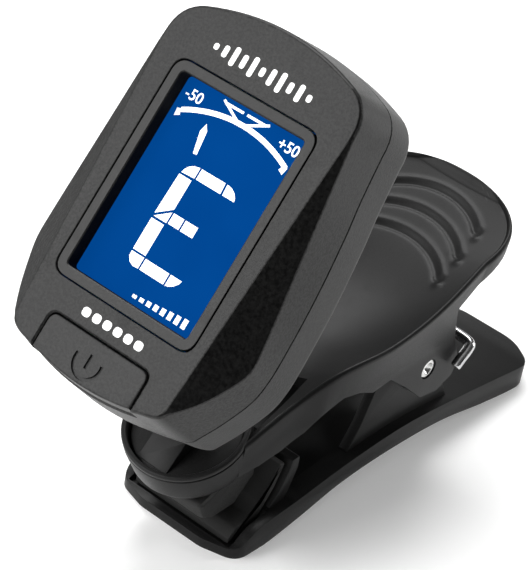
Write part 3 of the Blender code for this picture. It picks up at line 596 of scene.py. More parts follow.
def head_loop(depth, inset=0.0, edge="wall"):
    grown = 1.0 if edge == "wall" else 0.0
    top = FACE_TOP - inset + TOP_GROWTH * grown
    bottom = -FACE_BOTTOM + inset - BOTTOM_GROWTH * grown
    reach = 10 * MM - inset
    crown = [(reach * k / 8, top - (reach * k / 8) ** 2 / (2 * END_ARC_R)) for k in range(9)]
    side = []
    stations = 54
    for k in range(stations + 1):
        share = k / stations
        v = SHOULDER_V + (ANKLE_V - SHOULDER_V) * share
        drop = 0.0
        if edge == "face":
            half = FACE_HALF[0] + (FACE_HALF[1] - FACE_HALF[0]) * share
        elif edge == "facet":
            half = smooth_line(facet_half, -v)
            drop = FACET_SLOPE * (half - FACE_HALF[0] - (FACE_HALF[1] - FACE_HALF[0]) * share)
        else:
            half = smooth_line(wall_half, -v)
        side.append((half - inset, v - inset + (2 * inset - 0.8 * BOTTOM_GROWTH * grown) * share, drop))
    shoulder, ankle = Vector(side[0][:2]), Vector(side[-1][:2])
    corner = Vector((shoulder.x, crown[-1][1] - 1.1 * MM))
    start = Vector(crown[-1])
    shares = [k / 8 for k in range(1, 8)]
    half_loop = [(x, v, 0.0) for x, v in crown]
    for t in shares:
        p = start.lerp(corner, t).lerp(corner.lerp(shoulder, t), t)
        half_loop.append((p.x, p.y, side[0][2] * t))
    half_loop += side
    reach = 8.2 * MM - inset
    sole = [(reach * k / 8, bottom + (reach * k / 8) ** 2 / (2 * END_ARC_R)) for k in range(8, -1, -1)]
    end = Vector(sole[0])
    corner = Vector((ankle.x - 0.4 * MM, end.y + 0.35 * MM))
    for t in shares:
        p = ankle.lerp(corner, t).lerp(corner.lerp(end, t), t)
        half_loop.append((p.x, p.y, side[-1][2] * (1 - t)))
    half_loop += [(x, v, 0.0) for x, v in sole]
    mirrored = [(-x, v, d) for x, v, d in reversed(half_loop[1:-1])]
    return [Vector((x, v, -depth - d)) for x, v, d in half_loop + mirrored]


RIM = 0.28 * MM                                 # the face's edge is cut back at least this much all round


def face_and_facet():
    """The face's edge and the facet's edge, kept at least a small chamfer apart."""
    face, inner, facet = head_loop(0, edge="face"), head_loop(0, 1 * MM, "face"), head_loop(0, edge="facet")
    top, low = [], []
    for f, i, g in zip(face, inner, facet):
        gap = (Vector(g[:2]) - Vector(f[:2])).length
        top.append(f + (i - f).normalized() * max(RIM - gap, 0))
        low.append(Vector((g.x, g.y, min(g.z, -RIM))))
    return top, low


def stack(rows, radii, steps=3):
    """Round the corners between loops that are stacked one behind another."""
    chains = [rounded([Vector(row[i]) for row in rows], radii, steps) for i in range(len(rows[0]))]
    return [list(loop) for loop in zip(*chains)]


print("the outline has", len(head_loop(0)), "points")

# %% [markdown]
# ## Front cover
# The front half of the case is one moulding: face, slanted facets and walls, hollow behind, with an opening for the
# display and a notch for the power key. It is skinned from the face's middle outwards and over the rim to the
# inside, and the openings are then cut with flared tools that leave a small edge.

# %% Mould the front cover
FRAME_W, FRAME_H, FRAME_R = 18.9 * MM, 25.3 * MM, 1.7 * MM
BUTTON_HALF, BUTTON_TOP_V, BUTTON_R = 6.8 * MM, -16.3 * MM, 1.1 * MM
BUTTON_T, BUTTON_TRAVEL = 1.6 * MM, 0.4 * MM
CASE_SCREW_X, CASE_SCREW_V = 11.2 * MM, -12.6 * MM
top_edge, facet_edge = face_and_facet()
front_rows = [head_loop(0, 1.6 * MM, "face"), top_edge, facet_edge, head_loop(FRONT_DEPTH),
              head_loop(FRONT_DEPTH, HEAD_WALL), head_loop(FACE_WALL + 0.6 * MM, HEAD_WALL + 0.1 * MM, "facet"),
              head_loop(FACE_WALL, HEAD_WALL + 0.4 * MM, "face")]
front = piece("front_shell", skin(stack(front_rows, [0, 0.16 * MM, 0.2 * MM, 0.12 * MM, 0, 0, 0])), SHELL)
opening = rounded_rect(FRAME_W + 2 * SEAM, FRAME_H + 2 * SEAM, FRAME_R)
carve(front, flared(opening, -FACE_WALL - MM, 0, 0.07 * MM))
notch = rounded_rect(2 * (BUTTON_HALF + SEAM), 9 * MM, BUTTON_R, centre=(0, BUTTON_TOP_V + SEAM - 4.5 * MM))
carve(front, flared(notch, -BUTTON_T - BUTTON_TRAVEL - CLEAR, 0, 0.2 * MM))
for side in (-1, 1):
    spot = (side * CASE_SCREW_X, CASE_SCREW_V)
    carve(front, slab(circle(1.6 * MM, 32, spot), -FRONT_DEPTH, -FACE_WALL - 1.6 * MM), "UNION")
    carve(front, slab(circle(0.85 * MM, 24, spot), -FRONT_DEPTH - MM, -FACE_WALL - 2.6 * MM))
# Faces that slope up at the sides take the darker facet finish: painted shade.
front.data.materials.append(FACET_WITH_PAINTED_SHADE)
for face in front.data.polygons:
    if 0.7 < face.normal.z < 0.92 and abs(face.center.x) > 10 * MM and face.center.z > -3.2 * MM:
        face.material_index = 1
front.data.transform(IN_HEAD)
settle(front, "head", "shell", "front_cover", flat=True)

# %% [markdown]
# ## Power key
# The key fills the notch and wraps over the case's lower edge. It is cut from the same outline as the cover, so its
# surface runs on from the case, and its power sign is engraved: an open ring with a short bar.

# %% Mould the power key
key = piece("power_key", skin(stack([head_loop(0, 1.6 * MM, "face"), top_edge, head_loop(FRONT_DEPTH)],
                                    [0, 0.2 * MM, 0])), KEY)
keep = rounded_rect(2 * BUTTON_HALF, 9 * MM, BUTTON_R, centre=(0, BUTTON_TOP_V - 4.5 * MM))
rim = [at_height(keep, -BUTTON_T), at_height(keep, -0.24 * MM), at_height(shrink(keep, 0.07 * MM), -0.07 * MM),
       at_height(shrink(keep, 0.22 * MM), 0), at_height(shrink(keep, 0.22 * MM), MM)]
carve(key, skin(rim), "INTERSECT")
ICON_V, ICON_R, ICON_LINE, ICON_DEPTH = -18.8 * MM, 1.72 * MM, 0.42 * MM, 0.24 * MM


def ribbon(points, width):
    """A closed band of even width along a line in the plane."""
    sides = []
    for k, here in enumerate(points):
        ahead = (points[min(k + 1, len(points) - 1)] - points[max(k - 1, 0)]).normalized()
        across = Vector((-ahead.y, ahead.x)) * width / 2
        sides.append((here + across, here - across))
    return [a for a, b in sides] + [b for a, b in reversed(sides)]


def arc(centre, radius, start, end, steps=28):
    """Points on an arc; angles are in degrees from the local X axis."""
    turns = [radians(start + (end - start) * k / steps) for k in range(steps + 1)]
    return [Vector((centre[0] + radius * cos(a), centre[1] + radius * sin(a))) for a in turns]


ring = ribbon(arc((0, ICON_V), ICON_R, 164, 376), ICON_LINE)
bar = ribbon([Vector((0, ICON_V - 0.65 * MM)), Vector((0, ICON_V + 0.95 * MM))], ICON_LINE)
for mark in (ring, bar):
    carve(key, slab(mark, -ICON_DEPTH, 1 * MM))
key.data.transform(IN_HEAD)
settle(key, "power_button", "button", "power_button", flat=True)

# %% [markdown]
# ## Display frame
# A separate frame is pressed into the cover, flush with its face. Its opening has a slanted edge, and its deep inner
# walls shade the panel; the walls are also painted near black, as painted shade.

# %% Mould the display frame
WINDOW_W, WINDOW_H, WINDOW_R = 16.6 * MM, 23.0 * MM, 0.5 * MM
BEZEL_DEPTH = 1.9 * MM
PANEL_TOP = -BEZEL_DEPTH - CLEAR
bezel = piece("display_frame", slab(rounded_rect(FRAME_W, FRAME_H, FRAME_R), -BEZEL_DEPTH, 0, 0.08 * MM),
              FRAME_PLASTIC)
carve(bezel, flared(rounded_rect(WINDOW_W, WINDOW_H, WINDOW_R), -BEZEL_DEPTH - MM, 0, 0.12 * MM))
# The inner walls take the near-black finish: painted shade.
bezel.data.materials.append(SHADE)
for face in bezel.data.polygons:
    if abs(face.normal.z) < 0.5:
        face.material_index = 1
bezel.data.transform(IN_HEAD)
settle(bezel, "head", "bezel", "display_bezel", flat=True)

# %% [markdown]
# ## Lit segments
# The panel shows a scale from flat to sharp, a needle, the in-tune flags and the note that sounds. Each is a
# segment with a thin gap to its neighbour, because each is its own electrode. They are thin plates laid on the
# panel, drawn in millimetres from its middle.

# %% Draw the reading
SCALE_CENTRE, SCALE_R, SCALE_W = (-0.1 * MM, -6.2 * MM), 15.95 * MM, 0.55 * MM
LINE_W = 0.28 * MM
SEGMENT_T = 0.03 * MM


def millimetres(*points):
    return [Vector((x * MM, y * MM)) for x, y in points]


scale_arc = ribbon(arc(SCALE_CENTRE, SCALE_R, 64.5, 117.0, 40), SCALE_W)
ticks = [millimetres((-7.75, 7.15), (-7.15, 7.45), (-7.4, 8.1), (-7.85, 8.0)),
         millimetres((6.15, 7.75), (6.75, 7.45), (6.95, 8.3), (6.4, 8.3))]
strokes = (((-0.7, 10.9), (-3.0, 10.9)), ((-3.45, 11.1), (-0.4, 9.6)), ((-0.2, 10.9), (2.3, 10.9)),
           ((2.7, 11.1), (-0.35, 9.6)))
flags = [ribbon(millimetres(*ends), LINE_W) for ends in strokes]
needle = millimetres((-3.8, 8.05), (-3.3, 7.4), (-2.95, 4.85), (-3.4, 4.75), (-4.05, 7.1))
note = [
    millimetres((-3.5, 2.5), (-3.35, 3.0), (-3.0, 3.45), (-2.5, 3.75), (-1.8, 3.9), (-1.7, 3.85), (-1.7, 2.6)),
    millimetres((-1.55, 3.9), (1.75, 3.9), (1.85, 2.6), (-1.55, 2.6)),
    millimetres((1.95, 3.9), (2.6, 3.8), (3.2, 3.5), (3.6, 3.05), (3.75, 2.6), (2.05, 2.6)),
    millimetres((-3.6, 2.35), (-1.85, 2.35), (-1.85, -1.15), (-3.75, -2.5)),
    millimetres((-3.75, -2.75), (-1.85, -1.4), (-1.85, -2.75)),
    millimetres((-1.7, -1.4), (-0.2, -1.4), (-0.2, -2.7), (-1.7, -2.7)),
    millimetres((-0.05, -1.4), (1.7, -1.4), (1.7, -2.7), (-0.05, -2.7)),
    millimetres((-3.75, -2.95), (-1.95, -2.95), (-1.95, -6.7), (-3.75, -6.7)),
    millimetres((-3.75, -6.85), (-1.95, -6.85), (-1.95, -8.2), (-2.7, -8.25), (-3.3, -8.0), (-3.7, -7.5)),
    millimetres((-1.8, -6.85), (1.55, -6.85), (1.55, -8.2), (-1.8, -8.2)),
    millimetres((1.7, -6.85), (3.3, -6.85), (3.15, -7.3), (2.7, -7.8), (2.2, -8.1), (1.7, -8.2))]
BAR_PITCH, BAR_FOOT, BAR_RISE = 0.95, -10.9, 0.1
level = [millimetres((-0.9 + BAR_PITCH * k, BAR_FOOT), (-0.35 + BAR_PITCH * k, BAR_FOOT),
                     (-0.35 + BAR_PITCH * k, BAR_FOOT + 0.35 + BAR_RISE * k),
                     (-0.9 + BAR_PITCH * k, BAR_FOOT + 0.35 + BAR_RISE * k)) for k in range(8)]


def plates(name, outlines, low, thick, finish, gap=0.0):
    """Several thin plates as one piece."""
    bm = bmesh.new()
    for outline in outlines:
        part = slab(shrink(outline, gap / 2), low, low + thick)
        mesh = bpy.data.meshes.new("plate")
        part.to_mesh(mesh)
        part.free()
        bm.from_mesh(mesh)
        bpy.data.meshes.remove(mesh)
    return piece(name, bm, finish, IN_HEAD)


for label, outlines in (("scale_arc", [scale_arc]), ("scale_ends", ticks), ("tuned_flag_flat", flags[:1]),
                        ("tuned_flag_flat_stem", flags[1:2]), ("tuned_flag_sharp", flags[2:3]),
                        ("tuned_flag_sharp_stem", flags[3:]), ("needle", [needle]), ("note_reading", note),
                        ("level_bars", level)):
    gap = 0.09 * MM if label == "note_reading" else 0.0
    settle(plates(label, outlines, PANEL_TOP, SEGMENT_T, SEGMENT, gap), "head", "display")

# %% Draw the dial's end numbers
for label, words, middle in (("flat_end", "-50", (-6.8, 9.86)), ("sharp_end", "+50", (5.85, 10.1))):
    text = bpy.data.curves.new(label, "FONT")
    text.body = words
    text.size = 1.7 * MM
    text.align_x, text.align_y = "CENTER", "CENTER"
    text.extrude = SEGMENT_T / 2
    text.offset = 0.012 * MM
    written = put(label, text)
    written.matrix_world = IN_HEAD @ Matrix.Translation((middle[0] * MM, middle[1] * MM, PANEL_TOP + SEGMENT_T / 2))
    bpy.context.view_layer.update()
    mesh = bpy.data.meshes.new_from_object(written.evaluated_get(bpy.context.evaluated_depsgraph_get()))
    mesh.transform(written.matrix_world)
    bpy.data.objects.remove(written)
    number = put(f"{label}_number", mesh)
    mesh.materials.clear()
    mesh.materials.append(SEGMENT)
    settle(number, "head", "display")

# %% [markdown]
# ## Printed marks
# Plain signs are printed on the case: a row of sound-level bars above the display and a short dotted line below it.
# The ink stands a hair proud of the plastic.

# %% Print the marks
INK_T = 0.025 * MM
WAVE_HEIGHTS = (0.7, 1.3, 2.1, 1.5, 2.2, 1.0, 1.8, 2.2, 1.2, 1.9, 0.8)
bars = [rounded_rect(0.62 * MM, h * MM, 0.3 * MM, 4, ((-6.2 + 1.24 * k) * MM, 15.3 * MM))
        for k, h in enumerate(WAVE_HEIGHTS)]
dots = [rounded_rect(1.05 * MM, 1.0 * MM, 0.45 * MM, 5, ((-3.2 + 1.45 * k) * MM, -14.55 * MM)) for k in range(6)]
# The ink's finish carries a faint painted glow.
settle(plates("printed_level_bars", bars, 0, INK_T, INK_WITH_PAINTED_GLOW), "head", "shell")
settle(plates("printed_dots", dots, 0, INK_T, INK_WITH_PAINTED_GLOW), "head", "shell")

# %% [markdown]
# ## Rear cover and battery door
# The rear half closes the case, and two ears on it hold the tilt pin. The battery door drops into a seat in its
# back and has grip lines for a thumb.

# %% Mould the rear cover
REAR_EDGE = 1.0 * MM
BARREL_R, POST_W, EAR_T, PIN_R = 2.6 * MM, 4.2 * MM, 2.0 * MM, 1.0 * MM
DOOR_W, DOOR_H, DOOR_T, DOOR_R, CELL_V = 21.4 * MM, 23.0 * MM, 1.2 * MM, 2.0 * MM, 3.6 * MM
rear_floor = HEAD_DEPTH - FACE_WALL
rear_rows = [head_loop(HEAD_DEPTH, 3 * MM), head_loop(HEAD_DEPTH), head_loop(FRONT_DEPTH + SEAM),
             head_loop(FRONT_DEPTH + SEAM, HEAD_WALL), head_loop(rear_floor, HEAD_WALL)]
rear = piece("rear_shell", skin(stack(rear_rows, [0, REAR_EDGE, 0.12 * MM, 0, 0], 5)), SHELL)
root = HEAD_DEPTH - 0.6 * MM
for side in (-1, 1):
    low, high = sorted((side * (POST_W / 2 + CLEAR), side * (POST_W / 2 + CLEAR + EAR_T)))
    turns = [pi + pi * k / 24 for k in range(25)]
    ear = [Vector((-PIVOT_BELOW_MIDDLE + BARREL_R * cos(a), -PIVOT_TO_FACE + BARREL_R * sin(a))) for a in turns]
    ear += [Vector((-PIVOT_BELOW_MIDDLE + BARREL_R + 0.35 * (PIVOT_TO_FACE - HEAD_DEPTH), -root)),
            Vector((-PIVOT_BELOW_MIDDLE - BARREL_R, -root))]
    carve(rear, slab(ear, low, high, 0.18 * MM, at_side), "UNION")
pin_hole = [Vector((x - PIVOT_BELOW_MIDDLE, y - PIVOT_TO_FACE)) for x, y in circle(PIN_R + 0.02 * MM, 40)]
carve(rear, slab(pin_hole, -20 * MM, 20 * MM, 0, at_side))
seat = rounded_rect(DOOR_W + 2 * SEAM, DOOR_H + 2 * SEAM, DOOR_R, centre=(0, CELL_V))
carve(rear, slab(seat, -HEAD_DEPTH - MM, -rear_floor + MM))
for side in (-1, 1):
    spot = (side * CASE_SCREW_X, CASE_SCREW_V)
    carve(rear, slab(circle(1.6 * MM, 32, spot), -rear_floor - 0.5 * MM, -FRONT_DEPTH - CLEAR), "UNION")
    carve(rear, slab(circle(1.1 * MM, 24, spot), -HEAD_DEPTH - MM, -FRONT_DEPTH + MM))
    carve(rear, slab(circle(1.65 * MM, 40, spot), -HEAD_DEPTH - MM, -HEAD_DEPTH + 1.1 * MM))
rear.data.transform(IN_HEAD)
settle(rear, "head", "shell", "rear_cover", flat=True)

# %% Mould the battery door
door = piece("battery_lid", slab(rounded_rect(DOOR_W, DOOR_H, DOOR_R, 8, (0, CELL_V)), -HEAD_DEPTH,
                                 -HEAD_DEPTH + DOOR_T, 0.14 * MM), SHELL)
for k in range(4):
    groove_v = CELL_V + DOOR_H / 2 - 3 * MM - k * 1.2 * MM
    carve(door, slab(rounded_rect(8 * MM, 0.6 * MM, 0.25 * MM, 5, (0, groove_v)), -HEAD_DEPTH - MM,
                     -HEAD_DEPTH + 0.35 * MM))
door.data.transform(IN_HEAD)
settle(door, "battery_door", "shell", "battery_door", flat=True)

# %% [markdown]
# ## Tilt pin and hinge pin
# Both are short turned rods. A chamfer and a shallow dimple on each end are what a press leaves when it sets them.


# %% Turn the pins
def pin(name, radius, half, place, body, node):
    edge = 0.22 * MM
    end = [(radius * 0.02, half - 0.6 * MM), (radius * 0.3, half - 0.5 * MM), (radius * 0.58, half - 0.12 * MM),
           (radius * 0.64, half), (radius - edge, half),
           (radius - edge * 0.3, half - edge * 0.3), (radius, half - edge)]
    profile = [(r, -z) for r, z in end] + [(r, z) for r, z in reversed(end)]
    rod = piece(name, lathe(profile, 48), STEEL, place @ Matrix.Rotation(pi / 2, 4, "Y"))
    return settle(rod, body, "steel", node)


at_tilt = IN_HEAD @ Matrix.Translation((0, -PIVOT_BELOW_MIDDLE, -PIVOT_TO_FACE))
pin("tilt_rod", PIN_R, POST_W / 2 + CLEAR + EAR_T, at_tilt, "head", "tilt_pin")
pin("hinge_rod", 1.25 * MM, 9.1 * MM, IN_CLIP, "lower_arm", "hinge_pin")

# %% [markdown]
# ## Swivel post
# The post stands on a disc that turns in the cup. Its top is a barrel between the ears, and a sloped toe braces it
# towards the nose.

# %% Mould the swivel post
CUP_BORE_R, CUP_H = 6.6 * MM, 5.0 * MM
DISC_TOP = -1.1 * MM
DISC_LOW = DISC_TOP - 2.4 * MM
STEM_LOW = -CUP_H - 0.1 * MM
disc_r = CUP_BORE_R - CLEAR
disc = [(disc_r, DISC_LOW), (disc_r, DISC_TOP - 0.25 * MM), (disc_r - 0.08 * MM, DISC_TOP - 0.08 * MM),
        (disc_r - 0.25 * MM, DISC_TOP)]
post = piece("swivel_post", lathe(disc), ARM)
foot = DISC_TOP - 0.5 * MM
barrel = [Vector((BARREL_R * cos(pi * k / 32), PIVOT_RISE + BARREL_R * sin(pi * k / 32))) for k in range(33)]
barrel += [Vector((-2.3 * MM, PIVOT_RISE - 2 * MM)), Vector((-2.3 * MM, foot)), Vector((2.3 * MM, foot)),
           Vector((2.3 * MM, PIVOT_RISE - 2 * MM))]
carve(post, slab(barrel, -POST_W / 2, POST_W / 2, 0.16 * MM, at_side), "UNION")
toe = from_mm((-5.85, foot / MM), (-5.85, DISC_TOP / MM + 0.1), (0.0, DISC_TOP / MM + 2.7), (0.0, foot / MM))
carve(post, slab(toe, -POST_W / 2 - 0.02 * MM, POST_W / 2 + 0.02 * MM, 0.14 * MM, at_side), "UNION")
carve(post, slab(circle(2.0 * MM, 48), STEM_LOW, DISC_LOW + 0.5 * MM), "UNION")
carve(post, slab(circle(0.85 * MM, 24), STEM_LOW - MM, DISC_TOP - 0.6 * MM))
pin_bore = [Vector((x, y + PIVOT_RISE)) for x, y in circle(PIN_R + 0.06 * MM, 40)]
carve(post, slab(pin_bore, -POST_W, POST_W, 0, at_side))
post.data.transform(IN_CUP)
settle(post, "turret", "arm", "turret")

# %% [markdown]
# ## Upper arm
# This is the clip's showpiece: a shallow dished plate with a raised lip all round, cheeks that come down past the
# hinge, a round cup at the nose, and three curved grips for the thumb. Its cross-section is drawn at many places
# along it and skinned. The grips are pressed into the sections as they are drawn, which keeps them smooth.

# %% Shape the upper arm's sections
RIM_LINE = [(-31, 2.2), (-23.7, 5.6), (-18.9, 8.5), (-11.4, 9.8), (-5, 11.4), (2.4, 14.0), (13.3, 17.8)]
HALF_LINE = [(-31, 7.3), (-23.7, 8.4), (-18.9, 10.1), (-14, 11.2), (-8, 11.7), (-2, 11.7), (4, 11.3)]
DISH_LINE = [(-31, 2.2), (-18.9, 3.4), (-5, 3.0), (5, 1.8), (13.3, 0.7)]
THUMB_START, THUMB_END = 4.0, 13.3
CHEEK_X, ARM_WALL, PLATE_T, LIP_W, LIP_H = 9.2, 1.3, 1.5, 0.8, 0.6
DEEP = -6.0
GRIP_R = 9.5
GRIPS = ((10.6, 44), (7.3, 49), (4.0, 51))      # where each crosses the middle, and its half angle
PLATE_STEPS = 64


def hump(distance, width):
    return exp(-(distance / width) ** 2)


def grip_relief(x, y):
    """Height that the three grips add to the plate."""
    relief = 0.0
    for middle, span in GRIPS:
        cy = middle - GRIP_R
        away = (x * x + (y - cy) ** 2) ** 0.5 - GRIP_R
        turn = degrees(atan2(abs(x), y - cy))
        fade = min(max((span - turn) / 4.0 + 0.5, 0.0), 1.0)
        fade = fade * fade * (3 - 2 * fade)
        relief += fade * (0.13 * hump(away - 0.35, 0.38) - 0.26 * hump(away + 0.25, 0.36))
        end = radians(span + 1)
        beside = ((abs(x) - GRIP_R * sin(end)) ** 2 + (y - cy - GRIP_R * cos(end)) ** 2) ** 0.5
        beyond = ((abs(x) - GRIP_R * sin(end) - 0.5) ** 2 + (y - cy - GRIP_R * cos(end) + 0.9) ** 2) ** 0.5
        relief += 0.15 * hump(beyond, 0.45) - 0.22 * hump(beside, 0.45)
    return relief


def arm_half(y):
    if y <= THUMB_START:
        return smooth_line(HALF_LINE, y)
    share = (y - THUMB_START) / (THUMB_END - THUMB_START)
    return HALF_LINE[-1][1] * max(1 - share ** 2.5, 0.0) ** (1 / 2.1) + 0.9 * share


def arm_section(y):
    rim, half, dish = smooth_line(RIM_LINE, y), arm_half(y), smooth_line(DISH_LINE, y)
    edge = half - LIP_W
    sunk = min(max((THUMB_END - 0.1 - y) / (1.3 * LIP_W), 0.0), 1.0)
    sunk = sunk * sunk * (3 - 2 * sunk)
    plate = []
    for k in range(PLATE_STEPS + 1):
        s = k / PLATE_STEPS
        z = rim - (LIP_H + (dish - LIP_H) * (1 - s * s)) * sunk
        plate.append(Vector((edge * s, z + grip_relief(edge * s, y) * min((1 - s) * 14, 1.0))))
    drop = 9.0 if y > THUMB_END - 2.6 else PLATE_T
    cheek = min(CHEEK_X, half - 0.3)
    knee = min(2.5, rim - 3.0)
    wall = min(ARM_WALL, half * 0.4)
    under = [Vector((edge * s * 0.9, rim - LIP_H - (dish - LIP_H) * (1 - s * s) - drop)) for s in (1, 0.7, 0.35, 0)]
    under[0].x = min(half - wall - 0.1, edge * 0.95)
    side = rounded([plate[-1], Vector((half - LIP_W * 0.7, rim)), Vector((half, rim - 0.25)), Vector((cheek, knee)),
                    Vector((cheek, DEEP))], [0, 0.3, 0.6, 0.8, 0], 5)
    right = plate + side[1:] + [Vector((cheek - wall, DEEP)), Vector((cheek - wall, knee - 0.4))] + under
    loop = right + [Vector((-p.x, p.y)) for p in reversed(right[1:-1])]
    return [(p.x * MM, y * MM, p.y * MM) for p in loop]


def arm_stations():
    nose = [-31 + 26 * k / 40 for k in range(40)]
    waist = [-5 + 9 * k / 48 for k in range(48)]
    thumb = [4 + 9.3 * sin(pi / 2 * k / 64) for k in range(65)]
    return nose + waist + thumb


upper = piece("upper_lever", skin([arm_section(y) for y in arm_stations()]), ARM)
print("upper arm blank:", len(upper.data.polygons), "faces")

# %% Trim the upper arm and add its cup
CHEEK_LINE = [(1.0, 9.0), (6.2, -1.2), (5.4, -3.2), (2.8, -4.3), (-0.4, -3.9), (-4.2, -0.7), (-7.8, 2.0), (-11, 1.6)]
SKIRT_LINE = [(-14, 3.0), (-17.1, 3.8), (-20.6, 2.6), (-22.2, 0.8), (-25, -0.9), (-28, -1.8), (-33, -2.4)]
TAIL_LINE = [(-33, 25), (16, 25), (16, 16.4), (13.3, 15.6), (7.7, 13.1), (3.7, 11.2)]
side_points = TAIL_LINE + CHEEK_LINE + SKIRT_LINE
side_view = round_corners(from_mm(*side_points), [0] * 6 + [0.6 * MM] * 7 + [0.3 * MM] * 7 + [0], 4)
carve(upper, slab(side_view, -15 * MM, 15 * MM, 0, at_side), "INTERSECT")
pocket = from_mm((-29, 14), (-29, -5), (-20.2, -5), (-20.2, 14))
carve(upper, slab(pocket, -6.2 * MM, 6.2 * MM, 0, at_side))
cup_wall = [(6.05, -5.0), (6.6, -4.75), (6.85, -4.3), (6.95, -3.9), (7.25, -1.3), (7.25, -0.88), (7.2, -0.83),
            (7.02, -0.78), (7.0, -0.75), (7.02, -0.7), (7.2, -0.64), (7.25, -0.58), (7.25, -0.25), (7.2, -0.12),
            (7.1, -0.03), (7.0, 0.0)]
cup_finish = lathe([(r * MM, z * MM) for r, z in cup_wall])
carve(upper, cup_finish, "UNION", CUP_IN_CLIP)
bore = [(CUP_BORE_R, DISC_LOW - CLEAR), (CUP_BORE_R, -0.12 * MM), (CUP_BORE_R + 0.12 * MM, 0.02 * MM),
        (CUP_BORE_R + 0.12 * MM, 12 * MM)]
carve(upper, lathe(bore), place=CUP_IN_CLIP)
carve(upper, slab(circle(2.06 * MM, 48), -CUP_H - MM, 0), place=CUP_IN_CLIP)
carve(upper, slab(circle(1.31 * MM, 48), -15 * MM, 15 * MM, 0, at_side))
upper.data.transform(IN_CLIP)
settle(upper, "upper_arm", "arm", "upper_arm", crease=42)

# %% [markdown]
# ## Lower arm
# The lower arm stands on the table. It is a flat beam with an arched underside, an open tray at the nose for the
# pad, and two ears that carry the hinge pin. It is cut from its plan by its side view.

# %% Shape the lower arm
GROUND = -13.0
NOSE, TAIL = -32.3, 27.6
LOWER_HALF = 8.95
EAR_OUT = CHEEK_X - ARM_WALL - 0.3
EAR_IN = EAR_OUT - ARM_WALL
UNDERSIDE = [(NOSE, 0), (-28, 0), (-26, 0), (-20, 1.0), (-13, 2.4), (-4, 2.9), (6, 2.5), (15, 1.0), (22, 0.1),
             (TAIL, 0)]
RIM_TOP = [(NOSE, 1.2), (NOSE + 1.6, 1.4), (-28.5, 2.9), (-21, 3.9), (-12, 5.0), (-2, 5.5), (8, 4.8), (18, 3.7),
           (TAIL, 2.5)]


def band(start, end, steps, lift_low=0.0, lift_high=0.0):
    """A side view between the underside and the rim, in the clip's axes."""
    ys = [start + (end - start) * k / steps for k in range(steps + 1)]
    under = [(y, GROUND + smooth_line(UNDERSIDE, y) + lift_low) for y in ys]
    over = [(y, GROUND + smooth_line(RIM_TOP, y) + lift_high) for y in reversed(ys)]
    return from_mm(*under, *over)


plan = round_corners(from_mm(
    (-LOWER_HALF, NOSE + 1.3), (-LOWER_HALF / 2, NOSE), (LOWER_HALF / 2, NOSE), (LOWER_HALF, NOSE + 1.3),
    (LOWER_HALF, TAIL - 3.2), (LOWER_HALF / 2, TAIL), (-LOWER_HALF / 2, TAIL), (-LOWER_HALF, TAIL - 3.2)),
    [r * MM for r in (2.4, 4, 4, 2.4, 4, 6, 6, 4)], 8)
lower = piece("lower_lever", slab(plan, (GROUND - 1) * MM, (GROUND + 9) * MM), ARM)
carve(lower, slab(band(NOSE - 0.01, TAIL + 0.01, 60), -15 * MM, 15 * MM, 0, at_side), "INTERSECT")
TRAY_HALF = (LOWER_HALF - 1.3) * MM
carve(lower, slab(band(NOSE + 1.2, -25, 12, 0.8, 6), -TRAY_HALF, TRAY_HALF, 0, at_side))
carve(lower, slab(band(-20, 5.5, 24, 1.3, 6), -EAR_IN * MM, EAR_IN * MM, 0, at_side))
ease(lower, 0.16 * MM)
throat = round_corners([Vector((y, GROUND + z)) * MM for y, z in (
    (-26.6, 0.9), (-25.0, 2.9), (-23.2, 5.4), (-22.0, 8.0), (-21.8, 9.0), (-20.6, 9.2), (-20.5, 7.6), (-21.6, 4.6),
    (-23.0, 2.2), (-24.0, 0.6))], [0, 1 * MM, 1 * MM, 0.5 * MM, 0.3 * MM, 0.3 * MM, 0.5 * MM, 1 * MM, 1 * MM, 0], 4)
carve(lower, slab(throat, -EAR_OUT * MM, EAR_OUT * MM, 0.1 * MM, at_side), "UNION")
lug = [Vector((3.6 * cos(radians(-20 + 5 * k)), 3.6 * sin(radians(-20 + 5 * k)))) * MM for k in range(31)]
lug += from_mm((-7.4, 0.6), (-9.3, -4.8), (-11.5, GROUND + 4.2), (-11.5, GROUND + 3.4), (8.5, GROUND + 3.2),
               (8.5, GROUND + 4.2), (6.6, -5.6))
for side in (-1, 1):
    low, high = sorted((side * EAR_IN, side * EAR_OUT))
    carve(lower, slab(lug, low * MM, high * MM, 0.12 * MM, at_side), "UNION")
carve(lower, slab(circle(1.27 * MM, 48), -15 * MM, 15 * MM, 0, at_side))
lower.data.transform(IN_CLIP)
settle(lower, "lower_arm", "arm", "lower_arm", crease=30)

# %% [markdown]
# ## Pads
# Each jaw has a soft pad. A pad is cast rubber with rounded edges.

# %% Cast the pads
lower_line = [(-30.6, 1.9), (-29.6, 2.9), (-27.4, 3.6), (-25.8, 4.7), (-24.5, 6.6), (-23.4, 9.0), (-22.4, 8.7),
              (-23.6, 5.8), (-25.4, 3.2), (-27.2, 1.2), (-30.6, 1.1)]
lower_profile = round_corners([Vector((y, GROUND + z)) * MM for y, z in lower_line],
                              [r * MM for r in (0.2, 1, 1, 1, 1, 0.25, 0.25, 1, 1, 1, 0.2)], 4)
lower_cushion = piece("lower_cushion", slab(lower_profile, -7.1 * MM, 7.1 * MM, 0.25 * MM, at_side), PAD, IN_CLIP)
settle(lower_cushion, "lower_arm", "pad", "lower_pad")
upper_line = [(-35.0, 7.5), (-33.6, 5.0), (-32.0, 4.3), (-28.2, 4.5), (-25.4, 7.4), (-25.6, 11.4)]
upper_profile = round_corners([Vector((y, GROUND + z)) * MM for y, z in upper_line], 0.7 * MM, 5)
upper_cushion = piece("upper_cushion", slab(upper_profile, -5.4 * MM, 5.4 * MM, 0.6 * MM, at_side), PAD)
SCREW_SEAT = STEM_LOW - SEAM - 0.4 * MM - SEAM
carve(upper_cushion, slab(circle(3.5 * MM, 48), SCREW_SEAT - 1.4 * MM, MM), place=CUP_IN_CLIP)
upper_cushion.data.transform(IN_CLIP)
